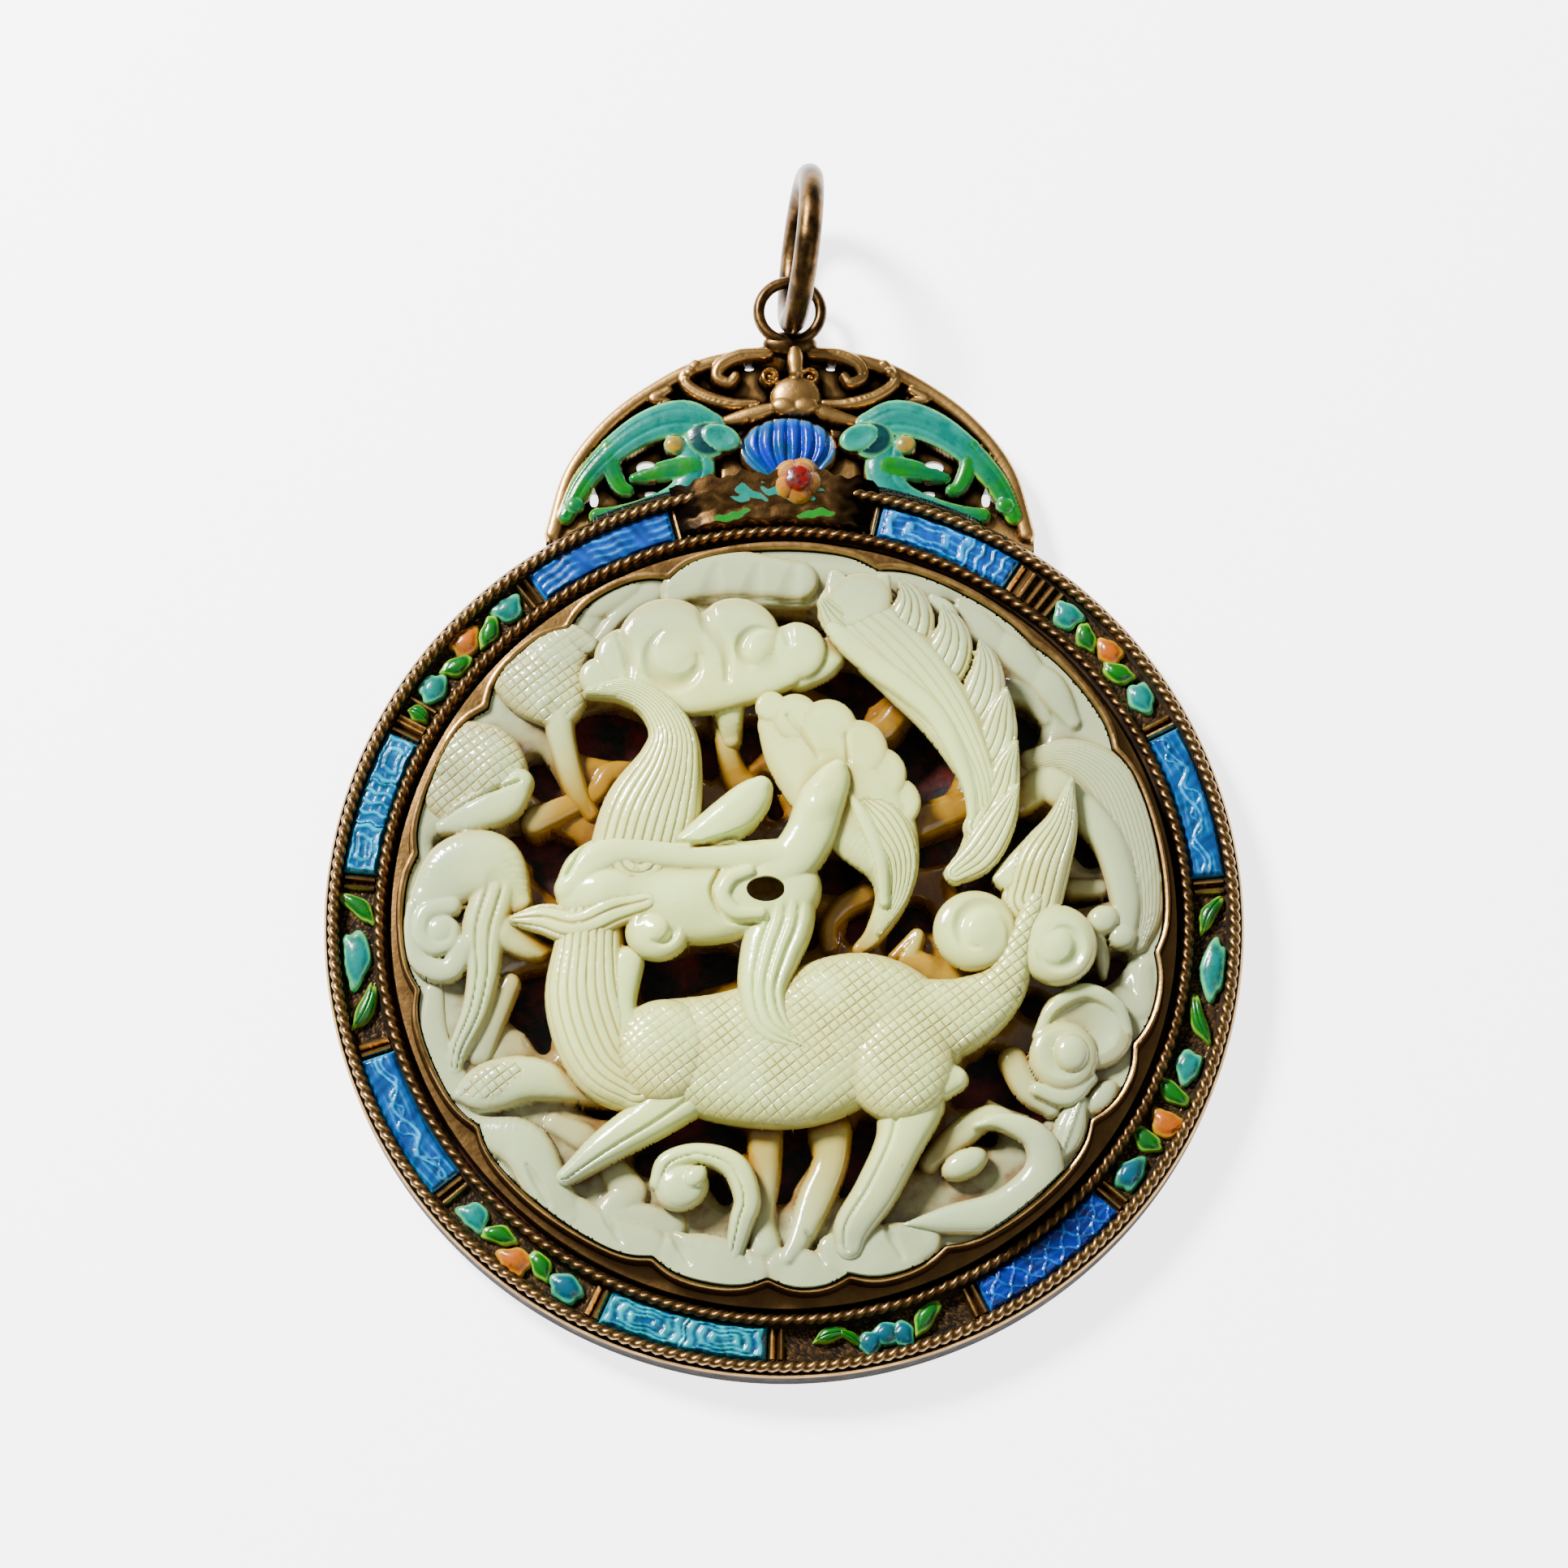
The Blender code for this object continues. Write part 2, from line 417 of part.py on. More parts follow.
def carve_head(relief):
    """The head turned back over the shoulder, with its horn, ear, beard and the flame of its mane."""
    relief.scroll(-34, -7.5, 7, 1.15, 120, 2.8, 9.2, 1.0, way=-1, knob=4)
    relief.band([(-71, -2.5, 1.5, 7.4), (-63, -2.5, 4, 8), (-54, -4.5, 5, 8.6), (-44, -1, 4.5, 9),
                 (-36, 1, 3.5, 9.2)], 1.3)
    relief.band([(-51, 7, 8.5, 9), (-38, 6, 9, 9.4), (-22, 4, 10, 9.5), (-12, 4.5, 8, 9.4)], 2.0)
    relief.band([(-13, 9, 5.5, 9.4), (-3, 9.5, 5, 9.5), (3, 6, 4.5, 9.3), (4.5, 0, 3.6, 8.8),
                 (2, -6, 4.5, 8.6)], 1.8)
    relief.band([(-12, -1, 4, 9), (-5, -1.5, 3, 9), (0, -1, 4, 9)], 1.4)
    relief.band([(-6, 9, 7, 9.6), (2, 15, 7, 9.9), (8, 24, 6.2, 10), (11.5, 30, 5, 9.7)], 2.2)
    relief.band([(-30, 13, 3.5, 9.2), (-20, 20, 5.5, 9.5), (-11, 26, 5.6, 9.8), (-7, 29, 4.6, 9.5)], 2.0)
    relief.dome(-43, 7.5, 5, 4.4, 9.7, 1.0)
    relief.band([(-3, -1, 5.5, 8.8), (-7.5, -11, 6, 9.2), (-8.5, -24, 6, 9.5), (-3, -32, 4, 9.5),
                 (5, -36, 1.2, 9.3)], 1.7)
    relief.band([(-38, 13, 13.5, 9), (-35, 24, 13, 9.2), (-30.5, 36, 9, 9.2), (-29.5, 45, 6.4, 9),
                 (-34, 53, 4.6, 8.7), (-42, 57.5, 3.6, 8.4), (-52, 57, 1.4, 8)], 1.7)
    relief.cut((np.hypot((relief.u + 6.5) / 4.2, (relief.v - 3.2) / 1.7) - 1) * 1.7)


def carve_plaque(u, v):
    """The whole carving, from the deep layer to the beast in front."""
    relief = Relief(u, v)
    lay_ground(relief)
    carve_rim_leaves(relief)
    carve_right_ribbon(relief)
    carve_left_fungus(relief)
    carve_ground_clouds(relief)
    carve_branches(relief)
    carve_top_cloud(relief)
    carve_plumes(relief)
    carve_legs(relief)
    carve_body(relief)
    carve_tail(relief)
    carve_head(relief)
    relief.cut(lobed_edge(np.arctan2(v, u)) - np.hypot(u, v))
    return relief.level, relief.edge


def carve_crest(u, v):
    """The crest's bat, spread under an arch whose base line is at v = 0.

    Places are hundredths of the crest's half width across, and shares of ARCH_HEIGHT of its rise upwards.
    """
    v = v * ARCH_HEIGHT * CREST_HALF / CREST_RISE / 100
    relief = Relief(u, v)
    arch = 1 - ((np.abs(u) / 100) ** 1.9 + (np.maximum(v, 0) / ARCH_HEIGHT) ** 1.9) ** (1 / 1.9)
    below = (v * CREST_RISE / ARCH_HEIGHT + CREST_BASE) / CREST_HALF * 100
    circle = np.hypot(u + CREST_OFFSET / CREST_HALF * 100, below)
    outside_frame = circle - CREST_INNER / CREST_HALF * 100
    relief.lay(np.full(u.shape, CREST_PLATE_LEVEL), np.minimum(arch * 80, outside_frame))
    for side in (-1, 1):
        relief.band([(side * 97, 6, 2.6, 5.4), (side * 86, 37, 2.6, 5.4), (side * 60, 65, 2.6, 5.4),
                     (side * 30, 80, 2.6, 5.4), (side * 10, 84, 2, 5.2)], 1.4)
        relief.band([(side * 29, 51, 5, 8), (side * 44, 60, 6, 8.2), (side * 60, 57, 6, 8),
                     (side * 74, 49, 5, 7.8), (side * 86, 36, 4.2, 7.4), (side * 94, 20, 3, 7)], 2.4)
        relief.band([(side * 33, 42, 7, 7.8), (side * 41, 27, 4.6, 7.6), (side * 52, 21, 4, 7.4),
                     (side * 66, 18, 3.6, 7.2), (side * 79, 18, 2.6, 6.8)], 2.2)
        relief.band([(side * 78, 45, 3, 7), (side * 72, 38, 2.8, 6.8), (side * 70, 30, 2.4, 6.6)], 1.8)
        relief.band([(side * 40, 41, 4.5, 7.2), (side * 52, 37, 3.2, 6.8), (side * 62, 34, 1.6, 6.4)], 1.8)
        relief.dome(side * 30, 50, 7.5, 5.6, 9.2, 2.2, side * 25)
        relief.scroll(side * 25, 75, 6, 1, 90, 2.2, 6.8, 1.2, way=side, knob=2.6)
        relief.dome(side * 41, 74, 4, 4, 6.6, 1.4)
        relief.dome(side * 8, 73, 3.8, 3.8, 7.4, 1.6)
        relief.dome(side * 13, 48, 7, 9, 8, 1.6, side * -25)
    relief.dome(2, 80, 3.6, 5, 8, 2.2)
    relief.dome(1, 66, 9, 6.5, 8.2, 2.2)
    relief.dome(0, 48, 8, 10, 8.2, 1.6)
    relief.dome(3, 35, 10.5, 10.5, 10, 3)
    for u_hole, v_hole, half_u, half_v in CREST_HOLES:
        away = np.hypot((np.abs(u) - u_hole) / half_u, (v - v_hole) / half_v)
        relief.cut((away - 1) * min(half_u, half_v))
    relief.cut(outside_frame)
    return relief.level, relief.edge


def flood(kept, start):
    """The part of the kept faces that hangs together with the starting face."""
    region = np.zeros_like(kept)
    region[start] = True
    grown = 0
    while grown != region.sum():
        grown = region.sum()
        spread = region.copy()
        spread[1:] |= region[:-1]
        spread[:-1] |= region[1:]
        spread[:, 1:] |= region[:, :-1]
        spread[:, :-1] |= region[:, 1:]
        region = spread & kept
    return region


def drop_pinches(kept):
    """Remove faces that touch another only at a corner, so that every edge of the body has two faces."""
    while True:
        a = kept[:-1, :-1]
        b = kept[:-1, 1:]
        c = kept[1:, :-1]
        d = kept[1:, 1:]
        falling = a & d & ~b & ~c
        rising = b & c & ~a & ~d
        if not (falling.any() or rising.any()):
            return kept
        d &= ~falling
        c &= ~rising


def carved_body(name, carve, half_width, low_v, high_v, step, depth, middle):
    """A flat-backed body whose top follows carve(u, v), on a square grid pulled onto the outline.

    Grid points close to the outline move along the slope of the edge field until they lie on it. Faces whose
    corners all lie inside are kept, and the sheet is extruded down to a flat back.
    """
    unit = half_width / 100
    columns = int(2 * GRID_REACH * unit / step)
    rows = int((high_v - low_v) * unit / step)
    mesh_builder = bmesh.new()
    bmesh.ops.create_grid(mesh_builder, x_segments=columns, y_segments=rows, size=1.0)
    mesh_builder.verts.ensure_lookup_table()
    mesh_builder.faces.ensure_lookup_table()
    grid = np.array([vert.co for vert in mesh_builder.verts])
    u = grid[:, 0] * GRID_REACH
    v = low_v + (grid[:, 1] + 1) / 2 * (high_v - low_v)
    nearby = step / unit * 0.6
    probe = 0.2
    _, edge = carve(u, v)
    slope_u = (carve(u + probe, v)[1] - edge) / probe
    slope_v = (carve(u, v + probe)[1] - edge) / probe
    steepness = np.maximum(slope_u**2 + slope_v**2, 0.2)
    to_line = np.where(np.abs(edge) < nearby, probe - edge, 0.0) / steepness
    u = u + np.clip(to_line * slope_u, -nearby, nearby)
    v = v + np.clip(to_line * slope_v, -nearby, nearby)
    inside = edge > -nearby
    level = np.maximum(carve(u, v)[0], LOWEST_LEVEL)
    corners = np.array([[vert.index for vert in face.verts] for face in mesh_builder.faces])
    kept = inside[corners].all(axis=1)
    centre = grid[corners].mean(axis=1)
    column = np.rint((centre[:, 0] + 1) / 2 * columns - 0.5).astype(int)
    row = np.rint((centre[:, 1] + 1) / 2 * rows - 0.5).astype(int)
    table = np.zeros((rows, columns), bool)
    table[row, column] = kept
    table = drop_pinches(table)
    start_column = int((middle[0] / GRID_REACH + 1) / 2 * columns)
    start_row = int((middle[1] - low_v) / (high_v - low_v) * rows)
    table = flood(table, (start_row, start_column))
    for vert, x, y, z in zip(mesh_builder.verts, u * unit, v * unit, level / 10 * depth):
        vert.co = (x, y, z)
    unwanted = [face for face, keep in zip(mesh_builder.faces, table[row, column]) if not keep]
    bmesh.ops.delete(mesh_builder, geom=unwanted, context='FACES')
    sheet = list(mesh_builder.faces)
    grown = bmesh.ops.extrude_face_region(mesh_builder, geom=sheet, use_keep_orig=True)
    for item in grown["geom"]:
        if isinstance(item, bmesh.types.BMVert):
            item.co.z = 0.0
    bmesh.ops.recalc_face_normals(mesh_builder, faces=list(mesh_builder.faces))
    mesh = bpy.data.meshes.new(name)
    mesh_builder.to_mesh(mesh)
    mesh_builder.free()
    mesh.shade_smooth()
    return mesh


def thin_out(made, keep_share):
    """Collapse the edges that carry the least shape, which empties the flat back first."""
    thinner = made.modifiers.new("fewer_faces", 'DECIMATE')
    thinner.ratio = keep_share


def ring_of_sections(name, sections):
    """A closed ring through equal rows of points, each row a closed section at its own angle."""
    count = len(sections)
    size = len(sections[0])
    faces = []
    for i in range(count):
        j = (i + 1) % count
        for k in range(size):
            m = (k + 1) % size
            faces.append((i * size + k, j * size + k, j * size + m, i * size + m))
    mesh = bpy.data.meshes.new(name)
    mesh.from_pydata([point for section in sections for point in section], [], faces)
    mesh.update()
    return mesh


def at_angle(angle, profile):
    return [(radius * math.cos(angle), radius * math.sin(angle), height) for radius, height in profile]


def make_back_plate(collection, finish):
    bpy.ops.mesh.primitive_cylinder_add(vertices=PLATE_SIDES, radius=PLATE_RADIUS, depth=PLATE_THICKNESS,
                                        location=(0, 0, PLATE_THICKNESS / 2))
    adopt("back_plate", collection, finish)


def make_frame(collection, finish):
    """The ring-shaped frame: seats for two ropes, a channel between them, and raised enamel panels in it."""
    stops = [(2 * math.pi * number / FRAME_SIDES, False) for number in range(FRAME_SIDES)]
    for first, last in PANEL_SPANS:
        start = math.radians(first)
        end = math.radians(last)
        low = start - PANEL_END_ANGLE * 2
        high = end + PANEL_END_ANGLE * 2
        stops = [stop for stop in stops if not low < stop[0] < high]
        stops.append((start - PANEL_END_ANGLE, False))
        for step in range(PANEL_SPAN_STEPS + 1):
            stops.append((start + (end - start) * step / PANEL_SPAN_STEPS, True))
        stops.append((end + PANEL_END_ANGLE, False))
    seat = FRAME_HEIGHT - FIT
    sections = []
    for angle, raised in sorted(stops):
        floor = FRAME_HEIGHT + PANEL_RISE if raised else FRAME_HEIGHT - CHANNEL_DEPTH
        sections.append(at_angle(angle, (
            (FRAME_OUTER, 0.0),
            (FRAME_OUTER, seat - FIT),
            (CHANNEL_OUTER, seat),
            (CHANNEL_OUTER - FIT, floor),
            (CHANNEL_INNER + FIT, floor),
            (CHANNEL_INNER, seat),
            (FRAME_INNER, seat),
            (FRAME_INNER, PLAQUE_BACK),
            (FRAME_OUTER - FRAME_RIM, PLAQUE_BACK),
            (FRAME_OUTER - FRAME_RIM, 0.0),
        )))
    add_object("frame", ring_of_sections("frame", sections), collection, finish)


def make_rope(name, radius, collection, finish):
    """A twisted wire laid round the frame, here its round envelope."""
    bpy.ops.mesh.primitive_torus_add(major_segments=ROPE_SIDES, minor_segments=5, major_radius=radius,
                                     minor_radius=ROPE_WIRE / 2,
                                     location=(0, 0, FRAME_HEIGHT + ROPE_WIRE / 2))
    adopt(name, collection, finish).data.shade_smooth()


def make_bezel(collection, finish):
    """The scalloped strip round the plaque: its inner face keeps FIT from the lobed edge, its foot is round."""
    angles = {2 * math.pi * number / BEZEL_SIDES for number in range(BEZEL_SIDES)}
    angles |= {math.radians(degrees + side) for degrees, _ in EDGE_CUSPS for side in (-1.5, 0.0, 1.5)}
    sections = []
    top = PLAQUE_BACK + BEZEL_HEIGHT
    shoulder = PLAQUE_BACK + BEZEL_FOOT_HEIGHT
    for angle in sorted(angles):
        lobed = PLAQUE_RADIUS * float(lobed_edge(np.array([angle]))[0]) / 100
        inner = lobed + FIT
        sections.append(at_angle(angle, (
            (inner, PLAQUE_BACK),
            (BEZEL_OUTER, PLAQUE_BACK),
            (BEZEL_OUTER, shoulder),
            (inner + BEZEL_WALL, shoulder + FIT),
            (inner + BEZEL_WALL, top),
            (inner, top),
        )))
    add_object("bezel", ring_of_sections("bezel", sections), collection, finish)


def make_plaque(collection, finish):
    on_the_flank = (10.0, -35.0)
    mesh = carved_body("jade_plaque", carve_plaque, PLAQUE_RADIUS, -GRID_REACH, GRID_REACH, PLAQUE_GRID_STEP,
                       PLAQUE_DEPTH, on_the_flank)
    made = add_object("jade_plaque", mesh, collection, finish)
    made.location = (0, 0, PLAQUE_BACK)
    thin_out(made, PLAQUE_KEEP_SHARE)


def make_crest(collection, finish):
    border = GRID_REACH - 100
    top = CREST_RISE / CREST_HALF * 100 + border
    on_the_breast = (0.0, 48.0)
    mesh = carved_body("crest", carve_crest, CREST_HALF, -border, top, CREST_GRID_STEP, CREST_DEPTH,
                       on_the_breast)
    made = add_object("crest", mesh, collection, finish)
    made.location = (CREST_OFFSET, CREST_BASE, CREST_UNDERSIDE)
    thin_out(made, CREST_KEEP_SHARE)


def make_eye(collection, finish):
    bpy.ops.mesh.primitive_torus_add(major_segments=EYE_SIDES, minor_segments=6, major_radius=EYE_RADIUS,
                                     minor_radius=EYE_WIRE / 2, location=(CREST_OFFSET, EYE_PLACE, EYE_HEIGHT))
    adopt("eye", collection, finish).data.shade_smooth()


def make_jump_ring(collection, finish):
    """The ring stands on the table's surface and passes down through the eye, a little behind its centre."""
    height = RING_RADIUS * math.cos(RING_LEAN) + RING_WIRE / 2 + TABLE_GAP
    rise = height - EYE_HEIGHT
    run = math.sqrt(RING_RADIUS**2 - rise**2)
    side = rise * math.sin(RING_LEAN) - run * math.sin(RING_TURN)
    place = (CREST_OFFSET + side, EYE_PLACE - RING_BACKSET + run, height)
    bpy.ops.mesh.primitive_torus_add(major_segments=RING_SIDES, minor_segments=8, major_radius=RING_RADIUS,
                                     minor_radius=RING_WIRE / 2, location=place,
                                     rotation=(0, math.pi / 2 + RING_LEAN, RING_TURN))
    adopt("jump_ring", collection, finish).data.shade_smooth()


def main():
    clear_scene()
    collection = bpy.data.collections.new("jade_plaque_pendant")
    bpy.context.scene.collection.children.link(collection)
    jade = material("pale_jade", (0.73, 0.76, 0.62), 0.25)
    silver = material("gilt_silver", (0.42, 0.30, 0.17), 0.38, 1.0)
    bright = material("worn_gold_edge", (0.78, 0.58, 0.34), 0.3, 1.0)
    dark = material("tarnished_silver", (0.05, 0.02, 0.015), 0.55, 0.4)
    make_back_plate(collection, dark)
    make_frame(collection, silver)
    make_rope("outer_rope", FRAME_OUTER - ROPE_WIRE / 2 - FIT, collection, silver)
    make_rope("inner_rope", FRAME_INNER + ROPE_WIRE / 2, collection, silver)
    make_bezel(collection, bright)
    make_plaque(collection, jade)
    make_crest(collection, silver)
    make_eye(collection, silver)
    make_jump_ring(collection, silver)


main()
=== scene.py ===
"""Framed jade plaque pendant: a carved nephrite roundel in an enamelled silver frame, lying face up.

Run from Blender's text editor or its command line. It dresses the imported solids: each operator makes one
piece, or a group of like pieces, as surfaces worked out with numpy.
"""
import math

import bpy
import numpy as np
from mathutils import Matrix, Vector


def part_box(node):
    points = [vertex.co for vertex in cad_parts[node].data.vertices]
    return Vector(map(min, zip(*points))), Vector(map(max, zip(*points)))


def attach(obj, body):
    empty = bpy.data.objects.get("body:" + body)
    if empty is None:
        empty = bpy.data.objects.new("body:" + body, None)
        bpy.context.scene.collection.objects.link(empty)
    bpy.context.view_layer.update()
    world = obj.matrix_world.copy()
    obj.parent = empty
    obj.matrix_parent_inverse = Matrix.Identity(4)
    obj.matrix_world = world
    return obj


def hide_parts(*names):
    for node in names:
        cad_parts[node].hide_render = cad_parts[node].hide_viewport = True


bl_info = {
    "name": "Jade Plaque Pendant",
    "version": (1, 0, 0),
    "blender": (4, 5, 0),
    "location": "View3D > Sidebar > Pendant",
    "description": "Dresses a framed jade plaque pendant with carving, enamel, wires and metal",
    "category": "Add Mesh",
}

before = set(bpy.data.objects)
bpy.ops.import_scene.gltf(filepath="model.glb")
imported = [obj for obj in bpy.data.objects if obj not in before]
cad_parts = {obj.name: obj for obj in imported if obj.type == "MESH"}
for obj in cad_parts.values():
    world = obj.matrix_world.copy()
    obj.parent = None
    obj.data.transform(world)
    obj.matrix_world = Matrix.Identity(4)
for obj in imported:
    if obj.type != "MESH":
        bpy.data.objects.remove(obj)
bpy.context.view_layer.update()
MM = 0.001

# Places that the solids fix
PLAQUE_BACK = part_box("jade_plaque")[0].z
OUTER_ROPE_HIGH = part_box("outer_rope")[1]
INNER_ROPE_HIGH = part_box("inner_rope")[1]
EYE_LOW, EYE_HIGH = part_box("eye")
RING_LOW, RING_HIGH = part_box("jump_ring")

# The carving's scale: places are hundredths of the plaque's radius, levels are tenths of its depth
PLAQUE_RADIUS = 0.0312
PLAQUE_UNIT = PLAQUE_RADIUS / 100
PLAQUE_DEPTH = 0.0088
GROUND_LEVEL = 3.9
DEEP_SHIFT = 2.6
TILT_STRETCH = 1.033
HATCH_TURN = 38
HATCH_PITCH = 2.4
HOLLOW_REACH = 102
HOLLOW_PITCH = 0.6
UNDERCUT = 5.0
JADE_TRIANGLES = 150000

# Radii and heights of the mounting, in metres
FIT = 0.0003
BEZEL_OUTER = 0.0325
FRAME_OUTER = 0.0380
FRAME_INNER = 0.0328
CHANNEL_OUTER = 0.0366
CHANNEL_INNER = 0.0339
FLOOR_HEIGHT = 0.0031
ENAMEL_FOOT = FLOOR_HEIGHT - 0.1 * MM
SEAT_HEIGHT = 0.0033
ROPE_WIRE = 0.0011
EYE_RADIUS = 0.00265
EYE_WIRE = 0.0010
RING_RADIUS = 0.0062
RING_WIRE = 0.0021
RING_LEAN = 7.0
RING_TURN = -5.0

# The crest's scale: places are hundredths of its half width, measured from its place
CREST_HALF = 0.0206
CREST_UNIT = CREST_HALF / 100
CREST_LEVEL_UNIT = 0.0003
CREST_PLACE = (0.0005, 0.03229, 0.0012)
CREST_PITCH = 0.62
CREST_TRIANGLES = 125000
SADDLE_SPAN = (104.6, 77.8)

# Points along each grid
BAND_STEPS = 1440
FLOOR_COLUMNS = 19
BEZEL_STEPS = 900
STRAND_STEPS = 14
PANEL_STEPS = 130
PANEL_ROWS = 29
SADDLE_STEPS = 150
SADDLE_ROWS = 44

# Length of one degree along the channel's middle, in mm
DEGREE_LENGTH = 0.615

# The plaque's edge: angle in degrees and depth of each pointed dip
EDGE_CUSPS = ((27, 2.2), (48, 1.0), (75, 2.4), (108.5, 3.4), (126.5, 3.4), (144.5, 3.4), (170.5, 2.2),
              (192, 2.6), (215.5, 2.6), (249.5, 2.8), (267.5, 3.2), (280, 3.0), (295.5, 2.6), (325.5, 3.2),
              (339, 2.6), (354, 2.2))

# First and last angle of each enamel panel, in degrees
PANEL_SPANS = ((5.9, 26.6), (57.3, 76.8), (105.5, 126.0), (154.0, 173.6), (199.0, 218.6), (245.8, 267.7),
               (297.3, 318.0))


def paint(red, green, blue):
    """A screen colour of 0 to 255 as the linear light that shaders take."""
    shares = []
    for part in (red, green, blue):
        share = part / 255
        shares.append(share / 12.92 if share <= 0.04045 else ((share + 0.055) / 1.055) ** 2.4)
    return tuple(shares)


class PENDANT_PG_jade(bpy.types.PropertyGroup):
    pitch: bpy.props.FloatProperty(
        name="Ground pitch", description="Grid spacing of the deep layer", default=0.175 * MM,
        subtype='DISTANCE', unit='LENGTH')
    front_pitch: bpy.props.FloatProperty(
        name="Front pitch", description="Grid spacing of the forms in front", default=0.14 * MM,
        subtype='DISTANCE', unit='LENGTH')
    pale: bpy.props.FloatVectorProperty(
        name="Pale jade", description="Colour of the polished high places", default=paint(208, 227, 140),
        subtype='COLOR', size=3)
    rim: bpy.props.FloatVectorProperty(
        name="Rim jade", description="Cooler colour near the edge", default=paint(144, 158, 132),
        subtype='COLOR', size=3)
    # Also the colour of the painted shade, mixed into the hollows, the deep layers, the forms' sides and the
    # cut lines.
    warm: bpy.props.FloatVectorProperty(
        name="Warm jade", description="Yellow tint of the deep branches", default=paint(158, 124, 30),
        subtype='COLOR', size=3)
    # Brown staining and painted shade, mixed in as spots in the hollows and on the deep layers.
    deep: bpy.props.FloatVectorProperty(
        name="Deep stain", description="Brown stain in the hollows", default=paint(92, 54, 16),
        subtype='COLOR', size=3)


class PENDANT_PG_metal(bpy.types.PropertyGroup):
    ridge: bpy.props.FloatVectorProperty(
        name="Worn ridge", description="Colour of the rubbed silver gilt", default=paint(168, 130, 74),
        subtype='COLOR', size=3)
    ground: bpy.props.FloatVectorProperty(
        name="Aged ground", description="Colour of the toned surface", default=paint(84, 60, 32),
        subtype='COLOR', size=3)
    # Grime and painted shade: the colour the metal darkens to in its hollows and on the frame's outer wall.
    dirt_and_shade: bpy.props.FloatVectorProperty(
        name="Dirt", description="Colour in the recesses", default=paint(14, 9, 5), subtype='COLOR', size=3)


def ramp(value, start, length):
    """0 up to the start, 1 from a length beyond it on, straight in between."""
    return np.clip((value - start) / length, 0, 1)


def fall(value, start, length):
    """0 from the start on, 1 up to a length before it, straight in between."""
    return np.clip((start - value) / length, 0, 1)


def full_circle(steps):
    """Evenly spaced angles once round, in radians."""
    return np.linspace(0, 2 * math.pi, steps, endpoint=False)


def unit_disc(steps):
    """A square grid of points bent into a round one: each coordinate shrinks where the other is large."""
    a, b = np.meshgrid(np.linspace(-1, 1, steps), np.linspace(-1, 1, steps))
    return a * np.sqrt(1 - b**2 / 2), b * np.sqrt(1 - a**2 / 2)


def blend(first, second, share):
    """Colours mixed place by place: the first where the share is 0, the second where it is 1."""
    share = share[..., None]
    return np.asarray(first) * (1 - share) + np.asarray(second) * share


